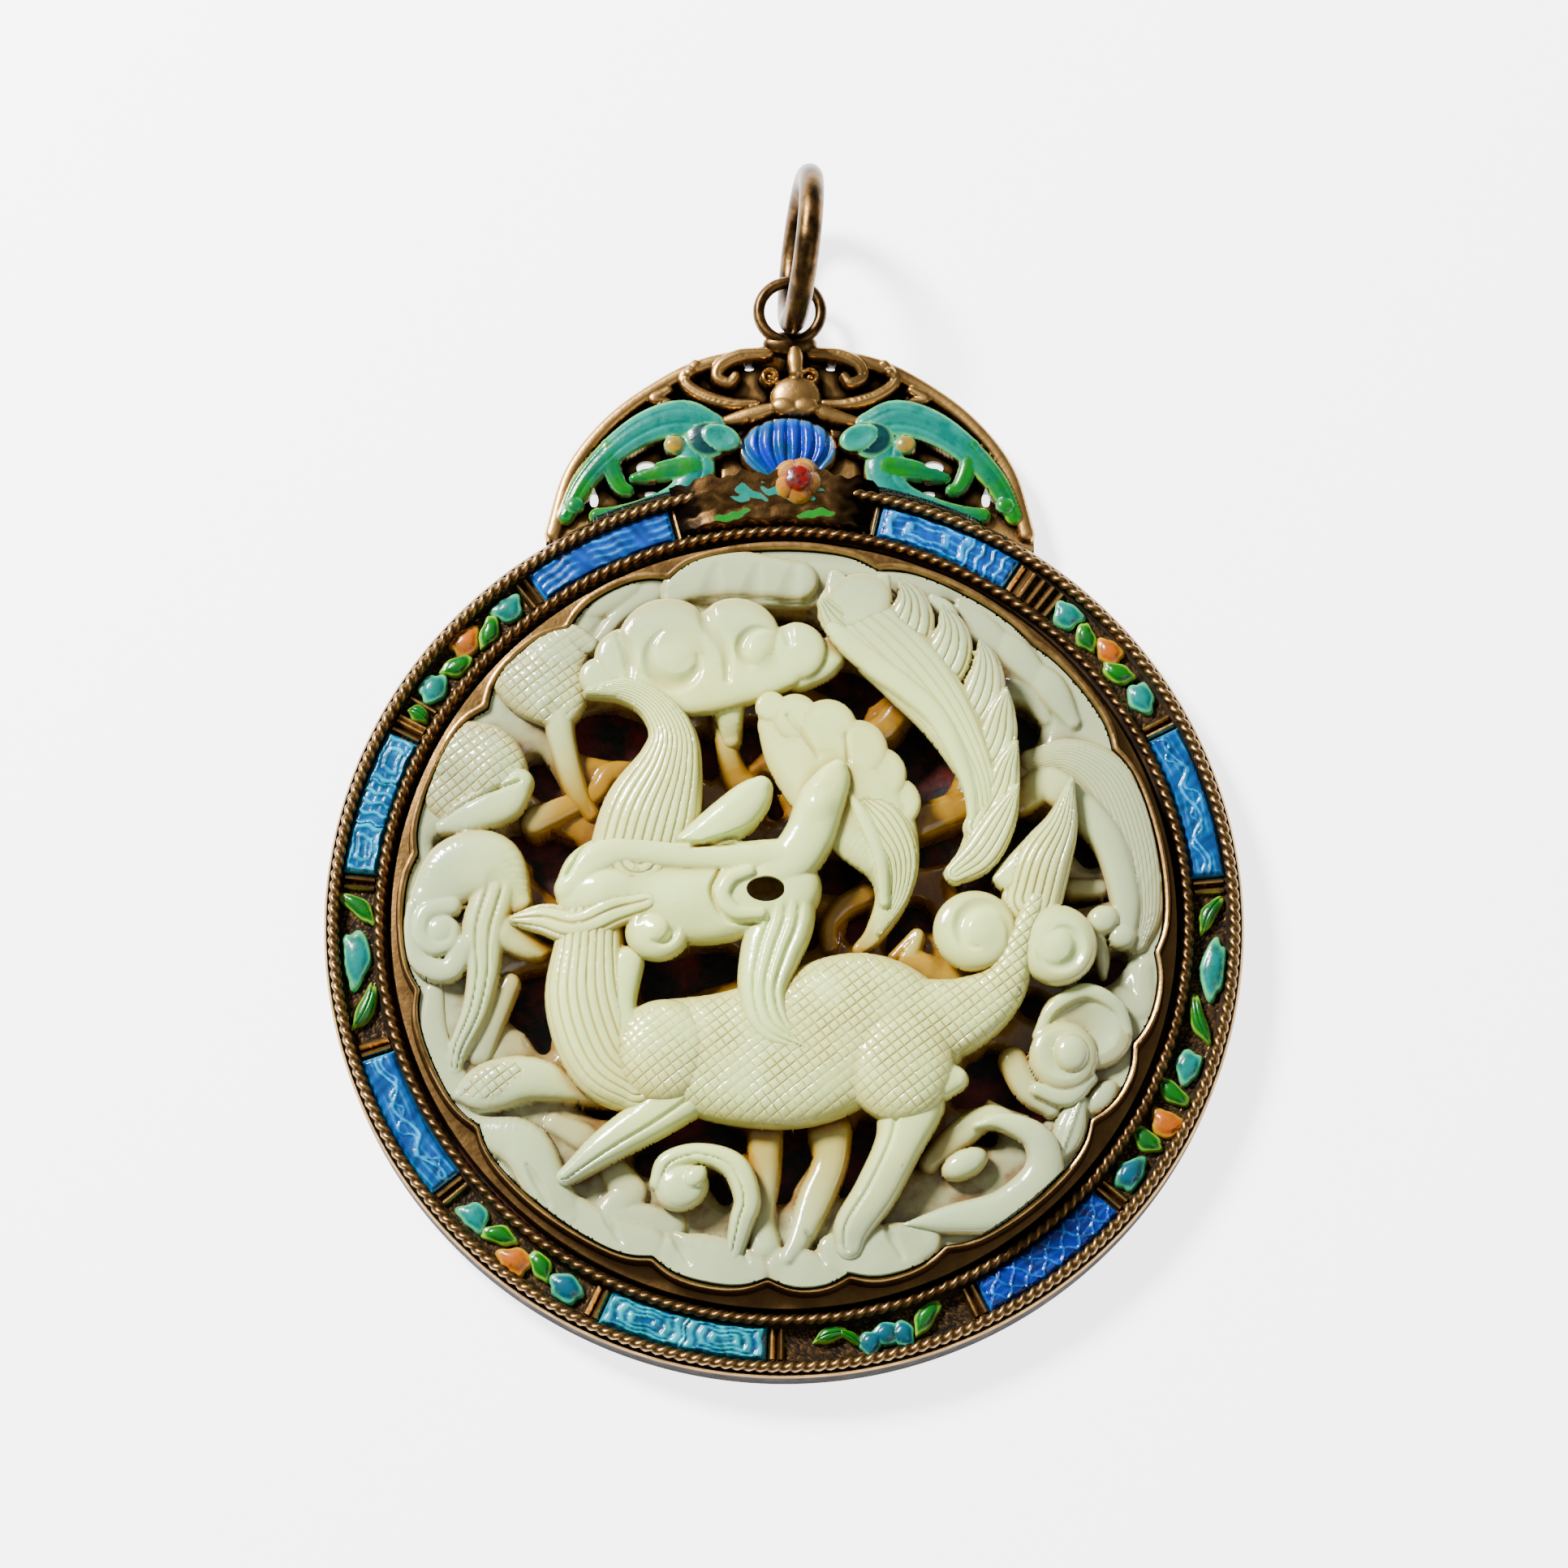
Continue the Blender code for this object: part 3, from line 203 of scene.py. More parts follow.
class Relief:
    """A carved surface over places u, v: the highest of all the forms laid at each place.

    level is the surface's height and edge is how far a place lies inside the outline. The marks tell of the
    form on top: stripe counts cut lines across it, stripe_cut and hatch say how strongly lines and
    cross-hatching are cut, paint is the number of its enamel, and rim is 0 at its middle and 1 at its side.
    """
    MARKS = ("stripe", "stripe_cut", "hatch", "paint", "rim")

    def __init__(self, u, v):
        self.u = u.ravel()
        self.v = v.ravel()
        self.level = np.full(self.u.shape, -1.0)
        self.edge = np.full(self.u.shape, -9.0)
        self.marks = {name: np.zeros(self.u.shape) for name in self.MARKS}

    def near(self, u_low, u_high, v_low, v_high):
        inside = (self.u > u_low) & (self.u < u_high) & (self.v > v_low) & (self.v < v_high)
        return np.flatnonzero(inside)

    def lay(self, at, level, inside, **marks):
        """Keep the higher of the old surface and the new form, where the form is."""
        wins = (inside > 0) & (level > self.level[at])
        here = at[wins]
        self.level[here] = level[wins]
        for name in self.MARKS:
            self.marks[name][here] = np.broadcast_to(marks.get(name, 0.0), level.shape)[wins]
        self.edge[at] = np.maximum(self.edge[at], inside)

    def cut(self, outside):
        """Take away what lies within a cutter, given how far each place lies outside of it."""
        self.edge = np.minimum(self.edge, outside)

    def nearest(self, rows, margin=2.0):
        """The places near a tapering band, and for each: share of the half width, side, width and level."""
        path = smooth_path(rows)
        path[:, 2] = np.maximum(path[:, 2], 0.05)
        reach = path[:, 2].max() + margin
        at = self.near(path[:, 0].min() - reach, path[:, 0].max() + reach,
                       path[:, 1].min() - reach, path[:, 1].max() + reach)
        u = self.u[at]
        v = self.v[at]
        best = np.full(u.shape, 99.0)
        side = np.zeros(u.shape)
        width = np.ones(u.shape)
        level = np.zeros(u.shape)
        for a, b in zip(path, path[1:]):
            du = b[0] - a[0]
            dv = b[1] - a[1]
            t = np.clip(((u - a[0]) * du + (v - a[1]) * dv) / (du * du + dv * dv + 1e-12), 0, 1)
            off_u = u - a[0] - t * du
            off_v = v - a[1] - t * dv
            half = a[2] + t * (b[2] - a[2])
            across = np.hypot(off_u, off_v) / half
            closer = across < best
            best = np.where(closer, across, best)
            side = np.where(closer, np.sign(du * off_v - dv * off_u), side)
            width = np.where(closer, half, width)
            level = np.where(closer, a[3] + t * (b[3] - a[3]), level)
        return at, best, side, width, level

    def band(self, rows, crown=1.4, lines=0, cut=1.0, hatch=0.0, keel=0.0, grooves=(), paint=0, flat=2.5):
        """A band along a smooth path through rows of (u, v, half width, level), rounded across its width.

        Its height falls from the path as an arc does whose power is flat: 2 is a circle's, and a higher one
        keeps a flatter top with a quicker shoulder. A keel raises its middle line, and grooves are cut along
        it at shares of its half width.
        """
        at, across, side, width, level = self.nearest(rows)
        signed = across * side
        within = np.clip(across, 0, 1)
        height = level - crown * (1 - (1 - within**flat) ** (1 / flat))
        height = height + keel * np.clip(1 - across * 5, 0, 1)
        for place in grooves:
            height = height - 0.35 * np.clip(1 - np.abs(signed - place) * 8, 0, 1)
        fade = np.clip((1 - across) * 5, 0, 1)
        self.lay(at, height, (1 - across) * width, stripe=(signed + 1) / 2 * lines,
                 stripe_cut=cut * (lines > 0) * fade, hatch=hatch * fade, paint=paint, rim=within)

    def dome(self, u, v, half_u, half_v, level, crown=1.4, turn=0.0, hatch=0.0, dish=0.0, paint=0, flat=2.3):
        """An elliptical boss: a cap squeezed to its two half widths and its rise, flat as a band's."""
        reach = max(half_u, half_v) + 1.5
        at = self.near(u - reach, u + reach, v - reach, v + reach)
        angle = math.radians(turn)
        x = (self.u[at] - u) * math.cos(angle) + (self.v[at] - v) * math.sin(angle)
        y = (self.v[at] - v) * math.cos(angle) - (self.u[at] - u) * math.sin(angle)
        across = np.hypot(x / half_u, y / half_v)
        within = np.clip(across, 0, 1)
        height = level - crown * (1 - (1 - within**flat) ** (1 / flat))
        height = height - dish * np.clip(1 - (within / 0.7) ** 2, 0, 1)
        fade = np.clip((1 - within) * 5, 0, 1)
        self.lay(at, height, (1 - across) * min(half_u, half_v), hatch=hatch * fade, paint=paint, rim=within)

    def scroll(self, u, v, radius, turns, start, width, level, crown, knob):
        """A band along a spiral that winds in to a quarter of its radius, round a knob."""
        t = np.linspace(0, 1, int(6 * turns) + 2)
        angle = math.radians(start) + t * turns * 2 * math.pi
        reach = radius * (1 - 0.75 * t)
        self.band(np.column_stack([u + reach * np.cos(angle), v + reach * np.sin(angle),
                                   width * (1 - 0.45 * t), np.full(t.shape, level)]), crown)
        self.dome(u, v, knob, knob, level + 0.1, crown)

    def swell(self, u, v, half_u, half_v, rise):
        """Raise what lies there by a soft mound: one less the distance squared, the whole squared."""
        away = ((self.u - u) / half_u) ** 2 + ((self.v - v) / half_v) ** 2
        self.level += rise * np.clip(1 - away, 0, 1) ** 2 * (self.level > 0)

    def score(self, rows, depth=0.5):
        """A soft valley cut into whatever lies there, along a path through rows of (u, v, half width).

        It is deepest where it is widest, so it fades out where it narrows.
        """
        at, across, _, width, _ = self.nearest([(*row, 0.0) for row in rows], margin=0.5)
        hollow = np.clip(1 - across**2, 0, 1) ** 1.5 * width / max(row[2] for row in rows)
        self.level[at] -= depth * hollow * (self.level[at] > 0)

    def curl(self, u, v, radius, start, knob=0.25, depth=0.45, way=1, sweep=4.4):
        """A soft spiral valley that sweeps some radians round a knob, and the knob's swelling."""
        t = np.linspace(0, 1, 12)
        angle = math.radians(start) + way * t * sweep
        reach = radius * (1 - 0.4 * t)
        self.score(np.column_stack([u + reach * np.cos(angle), v + reach * np.sin(angle),
                                    0.34 * radius * np.sin(math.pi * (0.08 + 0.84 * t))]), depth)
        self.swell(u, v, 0.75 * radius, 0.75 * radius, knob)


def smooth_path(points, per_span=8):
    """Catmull-Rom curve: between two points runs the cubic whose end slopes come from their neighbours."""
    p = np.asarray(points, float)
    ends = np.vstack([2 * p[0] - p[1], p, 2 * p[-1] - p[-2]])
    t = np.linspace(0, 1, per_span, endpoint=False)[:, None]
    spans = []
    for a, b, c, d in zip(ends, ends[1:], ends[2:], ends[3:]):
        bend = (2 * a - 5 * b + 4 * c - d) * t**2 + (3 * b - a - 3 * c + d) * t**3
        spans.append(0.5 * (2 * b + (c - a) * t + bend))
    return np.vstack(spans + [p[-1:]])


def lobed_edge(angle):
    """The plaque's edge in hundredths of its radius: a circle with a pointed dip at each cusp."""
    edge = np.full(angle.shape, 100.0)
    for degrees, depth in EDGE_CUSPS:
        off = np.abs((np.degrees(angle) - degrees + 180) % 360 - 180)
        edge -= depth * np.exp(-((off / 3.0) ** 1.3))
    return edge


def plaque_openings():
    """Openings through the ground layer, each a path of (u, v, half width)."""
    upper_left = ([(-47, 70, 1.5), (-42, 74, 4), (-33, 80, 2)],
                  [(-6, 80, 2.5), (1, 78, 3), (9, 74, 2)],
                  [(-54, 46, 3.5), (-50, 47, 6), (-43, 46, 6), (-37, 45, 3.5)],
                  [(-66, 37, 2.5), (-64, 33, 3.2), (-60, 29, 1.2)],
                  [(-47, 33, 1.4), (-47, 29, 1.8)],
                  [(-72, 19.5, 1), (-65, 16, 4), (-59, 13, 5)],
                  [(-62, 10, 4), (-59.5, 5, 1.5)],
                  [(-90.5, 16.3, 0.9), (-90.2, 15, 0.6)],
                  [(-22.5, 45, 1.4), (-20, 41, 2.2), (-19.7, 36, 1)],
                  [(-9, 46.5, 2.7), (-8.5, 44, 2.6), (-10.5, 41, 1.6)],
                  [(-4.5, 33.8, 0.7), (-1.5, 32, 0.9)],
                  [(-2.8, 29, 0.8), (-2.2, 26, 1.5)])
    upper_right = ([(9.5, 60.5, 1.6), (15, 60.5, 4), (20, 58.5, 4.5), (25, 58, 1.6)],
                   [(19.5, 57, 3.5), (19, 50, 1.2)],
                   [(34, 51, 2.5), (36, 43, 7.5), (38, 36, 6.5), (35, 30, 1.5)],
                   [(44, 78, 1.8), (49, 70.5, 2.6), (55.5, 62, 1)],
                   [(62.5, 51.5, 3.3), (63.5, 47, 4.2), (61, 42, 1.6)],
                   [(37, 16, 4.2), (42, 17, 4), (47, 18, 3.5)],
                   [(68, 22, 1.6), (61, 18, 5), (56, 11, 4), (48, 6, 1.5)],
                   [(78.5, 17.5, 2.6), (81.5, 14.5, 3.2)],
                   [(75.5, 2, 1.4), (80, 2.6, 1.4), (85.5, 3.6, 0.9)],
                   [(8, 10.5, 1.3), (12.5, 9.5, 4.6), (19.5, 10, 1.5)],
                   [(5.8, -3.5, 1.6), (6, -7.5, 2.4)],
                   [(20, -1.5, 1.6), (19, -6.5, 2)],
                   [(29, -10, 1.4), (31.5, -3, 2.2), (35, -0.5, 1.8), (38, -4, 1.1)])
    lower_left = ([(-34, -16, 4), (-33, -20.5, 4.2)],
                  [(-28, -17.5, 4.8), (-22, -15.5, 4.6), (-16, -14.5, 3.8)],
                  [(-63, -19, 2.5), (-68, -24, 5.4), (-65, -30, 3.4), (-63.3, -36, 1.3)],
                  [(-52.5, -51.2, 0.8), (-47, -52, 2), (-41.5, -50.8, 1.2)],
                  [(-25, -57, 3.2), (-15, -59.5, 3.2), (-10.5, -61, 1.5)],
                  [(-30, -60, 2.6), (-36, -65, 2.4), (-35.5, -67.5, 1.4)],
                  [(-18.5, -70.5, 1.3), (-15.3, -74.8, 1.3)])
    lower_right = ([(3.5, -59, 3), (3, -64, 3.6), (0, -71, 2.4), (-0.5, -74, 1.8)],
                   [(22, -57, 2.2), (18.5, -65, 2.6), (15.5, -72.5, 1.6)],
                   [(36.2, -61.5, 0.5), (34, -65.5, 1.2)],
                   [(55, -39, 2.2), (50, -46, 4.2), (46, -49.5, 1.4)],
                   [(52, -43, 4), (60, -48, 3.5), (66.5, -51.5, 2.5), (66, -55.5, 0.9)],
                   [(49.5, -58.6, 1.5), (53.5, -59.6, 1.7)],
                   [(65.5, -25, 2.6), (68.6, -26.4, 2.4)],
                   [(79, -19, 1), (84, -17.5, 2.3), (88, -14, 1.9)])
    return upper_left + upper_right + lower_left + lower_right


def lay_ground(relief):
    """The deep layer: a lobed disc pierced by the openings, rounded off beside them like branches."""
    true_v = relief.v * TILT_STRETCH
    radius = np.hypot(relief.u, true_v)
    inside = lobed_edge(np.arctan2(true_v, relief.u)) - radius
    away = np.full(relief.u.shape, 99.0)
    for rows in plaque_openings():
        path = [(u, v + DEEP_SHIFT, half + 0.7, 0.0) for u, v, half in rows]
        at, across, _, width, _ = relief.nearest(path, margin=9.0)
        away[at] = np.minimum(away[at], (across - 1) * width)
    slope = np.clip(1 - away / 5.0, 0, 1)
    drop = 1.3 * (1 - np.sqrt(1 - slope**2))
    lift = 0.9 * ramp(radius, 62, 38)
    everywhere = np.arange(relief.u.size)
    relief.lay(everywhere, GROUND_LEVEL - drop + lift, np.minimum(inside, away))


def carve_rim_leaves(relief):
    relief.band([(-30, 84, 3, 5.4), (-26, 88.5, 5.5, 5.7), (-14, 90.5, 6.4, 5.8), (4, 88.5, 5.4, 5.8)], 1.0,
                flat=3)
    relief.band([(-24, 86, 3.6, 5.2), (-10, 85.5, 3.8, 5.2), (8, 84, 2.4, 4.8)], 0.9)
    for u in (-19, -8, 2):
        relief.score([(u - 1, 82.5, 3.4), (u, 87, 3.2), (u + 1, 92, 1.6)], 0.2)
    relief.band([(8, 91, 3.5, 5), (18, 90, 4, 5), (30, 88, 4.5, 5), (40, 84, 3, 4.8)], 0.9)
    relief.band([(-55, 80, 2.5, 4.8), (-49, 83.5, 4.5, 5), (-42, 88, 4.5, 5)], 0.9)
    relief.band([(-50, 72, 2.5, 4.8), (-44, 80, 2.5, 4.8), (-36, 86, 4, 4.8)], 0.9)
    relief.band([(47, 82, 2, 4.9), (53, 76, 4.5, 5.2), (60, 70, 3, 5.2)], 1.0)
    relief.band([(55, 75, 2, 5), (62, 69, 4.5, 5.4), (70, 60, 3, 5.3)], 1.0)
    relief.band([(64, 67, 2, 5.1), (71, 60, 4.5, 5.5), (77, 51, 2.5, 5.2)], 1.0)
    relief.band([(58, 60, 3, 4.6), (66, 59, 4, 4.8), (70, 52, 2, 4.6)], 1.0)
    relief.band([(71, -65, 0.8, 5.4), (74, -57, 4.2, 6), (77, -49, 2.6, 5.8)], 1.0, keel=0.3)
    relief.dome(83, -47.5, 5.6, 3.2, 5.6, 0.9, 45)
    relief.band([(88, -22, 4, 5), (94, -24, 4, 5), (95, -14, 3, 5)], 1.0)


def carve_right_ribbon(relief):
    relief.band([(66, 40, 4, 5.6), (76, 41, 5.5, 6), (86, 34, 8, 6), (92, 18, 8, 5.8), (94, 2, 6.5, 5.6),
                 (93, -7, 3.5, 5.4)], 1.3, lines=14, cut=0.5)
    relief.band([(62, 30, 4.5, 5.6), (70, 34, 5, 6.2), (78, 28, 5, 6.4), (86, 18, 4.5, 6.4),
                 (90, 4, 4.2, 6.2), (90, -5, 3.4, 5.9)], 1.3)
    relief.dome(84, -2, 4.6, 4, 6.6, 1.2, 20)
    relief.dome(89, -6, 4, 3.6, 6.2, 1.1)
    relief.band([(82, -5, 2.5, 6), (83.5, -11, 2.3, 5.6), (84, -15.5, 1.2, 5)], 1.2)


def carve_left_fungus(relief):
    """Two fan-shaped fungus heads, their stems, and the cloud that curls below them."""
    relief.band([(-60, 52, 3, 6), (-61, 58, 9, 6.6), (-66, 65, 12.5, 6.4), (-70, 70, 8, 5.6)], 1.6, hatch=1)
    relief.band([(-52, 71, 3, 5.9), (-57, 72, 5, 6.2), (-60, 68, 8, 6.5)], 1.4, hatch=0.5)
    relief.band([(-60, 55, 4.5, 6.2), (-59, 46, 3.8, 5.8), (-55, 33, 3.2, 5.2), (-51, 27, 2.5, 4.6)], 1.3)
    relief.band([(-70, 33, 3, 6.2), (-77, 38, 9, 6.9), (-83, 38, 13, 6.5), (-87, 34, 10, 5.8)], 1.8, hatch=1)
    relief.band([(-90, 23, 2.5, 5.6), (-82, 26, 5, 6.6), (-74, 29, 5.5, 6.8), (-70, 34, 4, 6.8)], 1.4)
    relief.score([(-91, 24.5, 0.7), (-81, 30, 0.8), (-70, 34, 0.7)], 0.5)
    relief.band([(-70, 3, 4, 6.2), (-77, 12, 8.5, 7), (-86, 11, 9, 6.8), (-93, 4, 6, 6.4)], 1.5)
    relief.scroll(-90, -5, 7, 1.15, 70, 3.1, 6.6, crown=1.1, knob=4.6)
    relief.band([(-97.5, 2, 2, 6.2), (-98.2, -6, 2, 6.2), (-95, -13, 3, 6.2), (-88, -15, 3.4, 6.4),
                 (-84, -9, 3.5, 6.6)], 1.0)
    relief.band([(-76, 6, 6, 6.8), (-79, -5, 6, 6.7), (-79, -16, 4.5, 6.5), (-81, -26, 3.8, 6.2),
                 (-85, -35, 3, 5.8), (-86, -40, 2, 5.4)], 1.4, grooves=(-0.3, 0.3))
    relief.band([(-73, -5, 5, 6.4), (-66, -9, 3.5, 5.8), (-60, -9, 1.5, 5.2)], 1.3)
    relief.band([(-92, -20, 3, 5), (-92, -30, 4, 5.1), (-89, -38, 4, 5.1), (-85, -45, 4, 5.2)], 0.8)
    relief.band([(-72, -18, 3, 5.2), (-77, -28, 4, 5.2), (-80, -36, 4, 5)], 1.1)


def carve_ground_clouds(relief):
    """Rocks and clouds along the bottom and the pointed leaf at the left."""
    relief.band([(-85, -47, 2, 5.6), (-77, -45, 6.5, 6.4), (-67, -43, 6, 6.6), (-56, -45, 4, 6),
                 (-46, -48.5, 1.6, 5.2)], 1.5)
    relief.band([(-84, -47, 1, 5.7), (-77, -44.5, 4.5, 6.6), (-70, -42, 3, 6.7)], 0.7, hatch=1.5)
    relief.band([(-80, -56, 4, 5.4), (-68, -60, 6.5, 6.2), (-62, -70, 6, 6.2), (-56, -78, 5, 5.8)], 1.3)
    relief.band([(-60, -54, 3, 5), (-52, -58, 4, 5.2), (-46, -64, 4, 5.2), (-40, -72, 5, 5.4)], 1.2)
    relief.band([(-60, -76, 6, 5.6), (-48, -83, 7, 5.8), (-36, -86, 6, 5.8)], 1.0, flat=3.5)
    relief.band([(-28, -88, 6, 5.8), (-18, -91, 8, 6.2), (-8, -92, 4.5, 6)], 1.0, flat=3.5)
    relief.band([(0, -91, 5, 6), (6, -93, 6.5, 6.2), (14, -92, 4, 6)], 0.9, flat=3.5)
    relief.band([(14, -88, 6, 6.2), (25, -88, 8, 6.4), (36, -84, 5, 5.8)], 1.0, flat=3.5)
    for u, v, length in ((-64, -70, 9), (-45, -80, 8), (-27, -86, 7), (-12, -85, 8), (8, -86, 7),
                         (28, -84, 8)):
        relief.score([(u - 0.3 * length, v + 0.5 * length, 0.8), (u, v, 1.5),
                      (u + 0.35 * length, v - 0.6 * length, 0.8)], 0.45)
    relief.band([(-40, -72, 4, 5.4), (-44, -78, 5, 5.6), (-30, -80, 5, 5.4)], 1.0)


def carve_scrolls(relief):
    """The two curled tendrils under the beast."""
    relief.band([(-13, -88, 2.5, 6.2), (-11, -80, 3.3, 7), (-9.5, -74, 3.6, 7.4), (-13, -66, 3.6, 7.6),
                 (-22, -62.8, 2.8, 7.6), (-30, -65, 3, 7.4), (-32.5, -70, 2.5, 7.2)], 1.2, grooves=(0.2,))
    relief.dome(-26.5, -71, 7.2, 6.2, 7.6, 1.5, 20)
    relief.dome(-23, -69, 3.5, 2.6, 8, 0.8, 40)
    relief.band([(31, -80.5, 0.8, 6), (43, -79, 3.8, 6.6), (57, -76.5, 5.2, 7), (67, -68, 5.2, 7.2),
                 (66, -59, 4, 7.4), (57, -54.5, 2.6, 7.2), (50, -55.5, 1, 6.8)], 1.4)
    relief.band([(38, -64, 3, 5.4), (46, -57, 4, 5.8), (54, -52.5, 3.2, 6), (62, -56, 3, 6)], 1.3)
    relief.dome(47, -65, 6.5, 3.8, 6.9, 1.3, 25)


def carve_right_flower(relief):
    """A round flower with a raised knob, under a hollow petal that arches over it."""
    relief.dome(79, -30, 12.6, 10.6, 6.3, 1.1, -15, dish=0.7, flat=3)
    relief.band([(66.5, -32, 1.6, 6.3), (70.5, -25, 2.0, 6.7), (79, -20.8, 2.2, 6.8), (87, -24.5, 2.0, 6.6),
                 (90, -31, 1.4, 6.2)], 0.8)
    relief.dome(73, -37.5, 9, 9, 6.9, 1.1, dish=0.5, flat=3)
    relief.dome(75, -37, 4.6, 5.2, 7.5, 1.1)
    relief.band([(66, -46, 2, 6.4), (74, -48, 2.6, 6.4), (80, -43, 2, 6.2)], 0.9)
    relief.band([(60, -38, 4, 5.4), (64, -45, 4, 5.6), (70, -50, 3, 5.4)], 1.2)


def carve_branches(relief):
    relief.band([(-38, 38, 3, 4.4), (-46, 38, 3.2, 4.4), (-51, 32, 3.2, 4.6), (-66, 25, 4, 5)], 1.2)
    relief.band([(-16, 52, 3.6, 5.8), (-15, 44, 3, 5.4), (-13, 37, 4, 4.8), (-10, 34, 4, 4.6)], 1.3)
    relief.band([(20, 46, 3.5, 5), (27, 50, 4, 4.8), (31, 55, 4, 4.8)], 1.3)
    relief.band([(36, 25, 4.6, 4.8), (44, 28, 4.6, 4.6), (50, 30, 4, 4.6)], 1.3)
    relief.band([(29, -11, 2, 4.8), (35, -5.5, 2.2, 5.4), (33, -12, 4, 5.6), (42, -16, 4.5, 5.6),
                 (49, -16, 2, 5.2)], 1.2)
    relief.band([(12, -8, 2.5, 4.6), (12, -2, 2.6, 4.6), (16, 3, 3, 4.6), (22, 6, 3.2, 4.8)], 1.2)
    relief.band([(62, 36, 5, 5.2), (68, 38, 5, 5.4)], 1.3)
    relief.band([(76, 7.5, 2.6, 4.8), (84, 7.5, 2.6, 4.8)], 1.2)


def carve_far_legs(relief):
    relief.band([(-5, -54, 5, 5.4), (-5, -66, 4.4, 5.4), (-6, -78, 3.8, 5.6), (-5, -86, 4.5, 6)], 1.5)
    relief.band([(12, -56, 6, 5.6), (12, -64, 4.8, 5.6), (8, -74, 4.8, 5.8), (4, -84, 3.4, 6.2),
                 (1, -89, 2.4, 6.4)], 1.5)


def carve_top_cloud(relief):
    """A cloud head of flat soft lobes with two curls cut into it, over a stem."""
    for u, v, radius, level in ((-49, 61.5, 5.6, 7.4), (-42, 66.5, 8.5, 7.6), (-31, 69.5, 13.5, 7.9),
                                (-13, 70.5, 12.5, 7.9), (3, 68, 8.5, 7.7)):
        relief.dome(u, v, radius, 0.96 * radius, level, 1.2, flat=3.4)
    relief.band([(-38, 61, 7, 7.7), (-24, 60, 9, 7.9), (-10, 62, 8, 7.8), (0, 64, 6, 7.6)], 1.2, flat=3.4)
    relief.band([(-16, 58, 6, 7.5), (-14.5, 51, 3.8, 6.8), (-14, 46, 3, 5.8)], 1.4)
    relief.band([(4, 64, 6, 7.3), (10, 66, 5, 7.0), (15, 71, 4, 6.6)], 1.2)
    relief.curl(-28, 65.5, 8.6, 120)
    relief.curl(-6.5, 67.5, 6.4, 60, sweep=3.4)
    relief.score([(-44, 72, 1.4), (-41, 67, 2.6), (-41, 61, 1.6)], 0.4)
    relief.score([(-21.5, 83, 2.8), (-20, 75, 2.6), (-15.5, 68, 2.2), (-15, 60, 1.4)], 0.5)
    relief.score([(0, 76, 2.6), (1.5, 70, 1.6)], 0.45)


def lay_lobes(relief, lobes, lines):
    """A feather's side lobes, one over the next: rows of (u, v, half width) from the root to the tip."""
    for rows in lobes:
        levels = np.linspace(8.1, 8.8, len(rows))
        relief.band([(*row, level) for row, level in zip(rows, levels)], 0.9, lines=lines, cut=0.8, flat=3.2)


def carve_long_plume(relief):
    relief.band([(42, 70, 4, 6.2), (43, 78.5, 3.8, 6.4), (39.5, 83.6, 1.2, 6.2)], 1.2)
    relief.dome(19.5, 80.5, 9.5, 7.6, 8.45, 0.6, 20, flat=5)
    relief.band([(20, 77, 4, 8.3), (15.5, 83, 4.2, 8.35), (13.6, 87.5, 2, 8.3)], 0.6, flat=4)
    relief.band([(22, 76, 5, 8.3), (23.5, 82, 5, 8.35), (26.5, 86.5, 2, 8.3)], 0.6, flat=4)
    lay_lobes(relief, (((24, 68, 4), (15, 75, 4.6), (10.5, 80, 1.8)),
                       ((26, 64, 5), (32.5, 73, 7.2), (34, 80.5, 4.2), (30.6, 86.3, 0.5)),
                       ((35, 56, 5), (42.5, 65, 6.8), (44.6, 72.5, 4.3), (42, 79.3, 0.5)),
                       ((46, 45, 4), (52, 54.5, 6), (53.7, 63, 4), (52, 70, 0.5)),
                       ((50, 33, 4), (55.5, 43, 5.6), (57.4, 50.5, 3.9), (58.9, 57.2, 0.5)),
                       ((51, 21, 4), (56.5, 30, 5), (58.8, 37, 3.4), (61.4, 43.4, 0.5)),
                       ((45, 9, 3), (51.5, 14, 5), (57, 22.5, 4.2), (61.7, 31.7, 0.5))), 5)
    relief.band([(15, 80, 6, 8.3), (24, 72, 9.5, 8.5), (34, 62, 9.5, 8.55), (42, 52, 8, 8.6),
                 (48, 41.5, 6.2, 8.6), (52, 31, 4.6, 8.4), (52, 21, 4.2, 7.9), (48.5, 13.5, 3.4, 7),
                 (43, 10.3, 1.2, 6)], 0.9, lines=7, cut=0.45, flat=3)
    relief.band([(10.5, 77, 1.6, 8.4), (16, 70.5, 3.0, 8.7), (24.5, 63, 3.4, 8.9), (33, 56.5, 3.2, 9.0),
                 (40.5, 49.5, 3.0, 9.0), (45.8, 40, 2.6, 8.9), (49.3, 30, 2.0, 8.5),
                 (49.8, 21, 1.4, 8.0)], 0.7, flat=2)


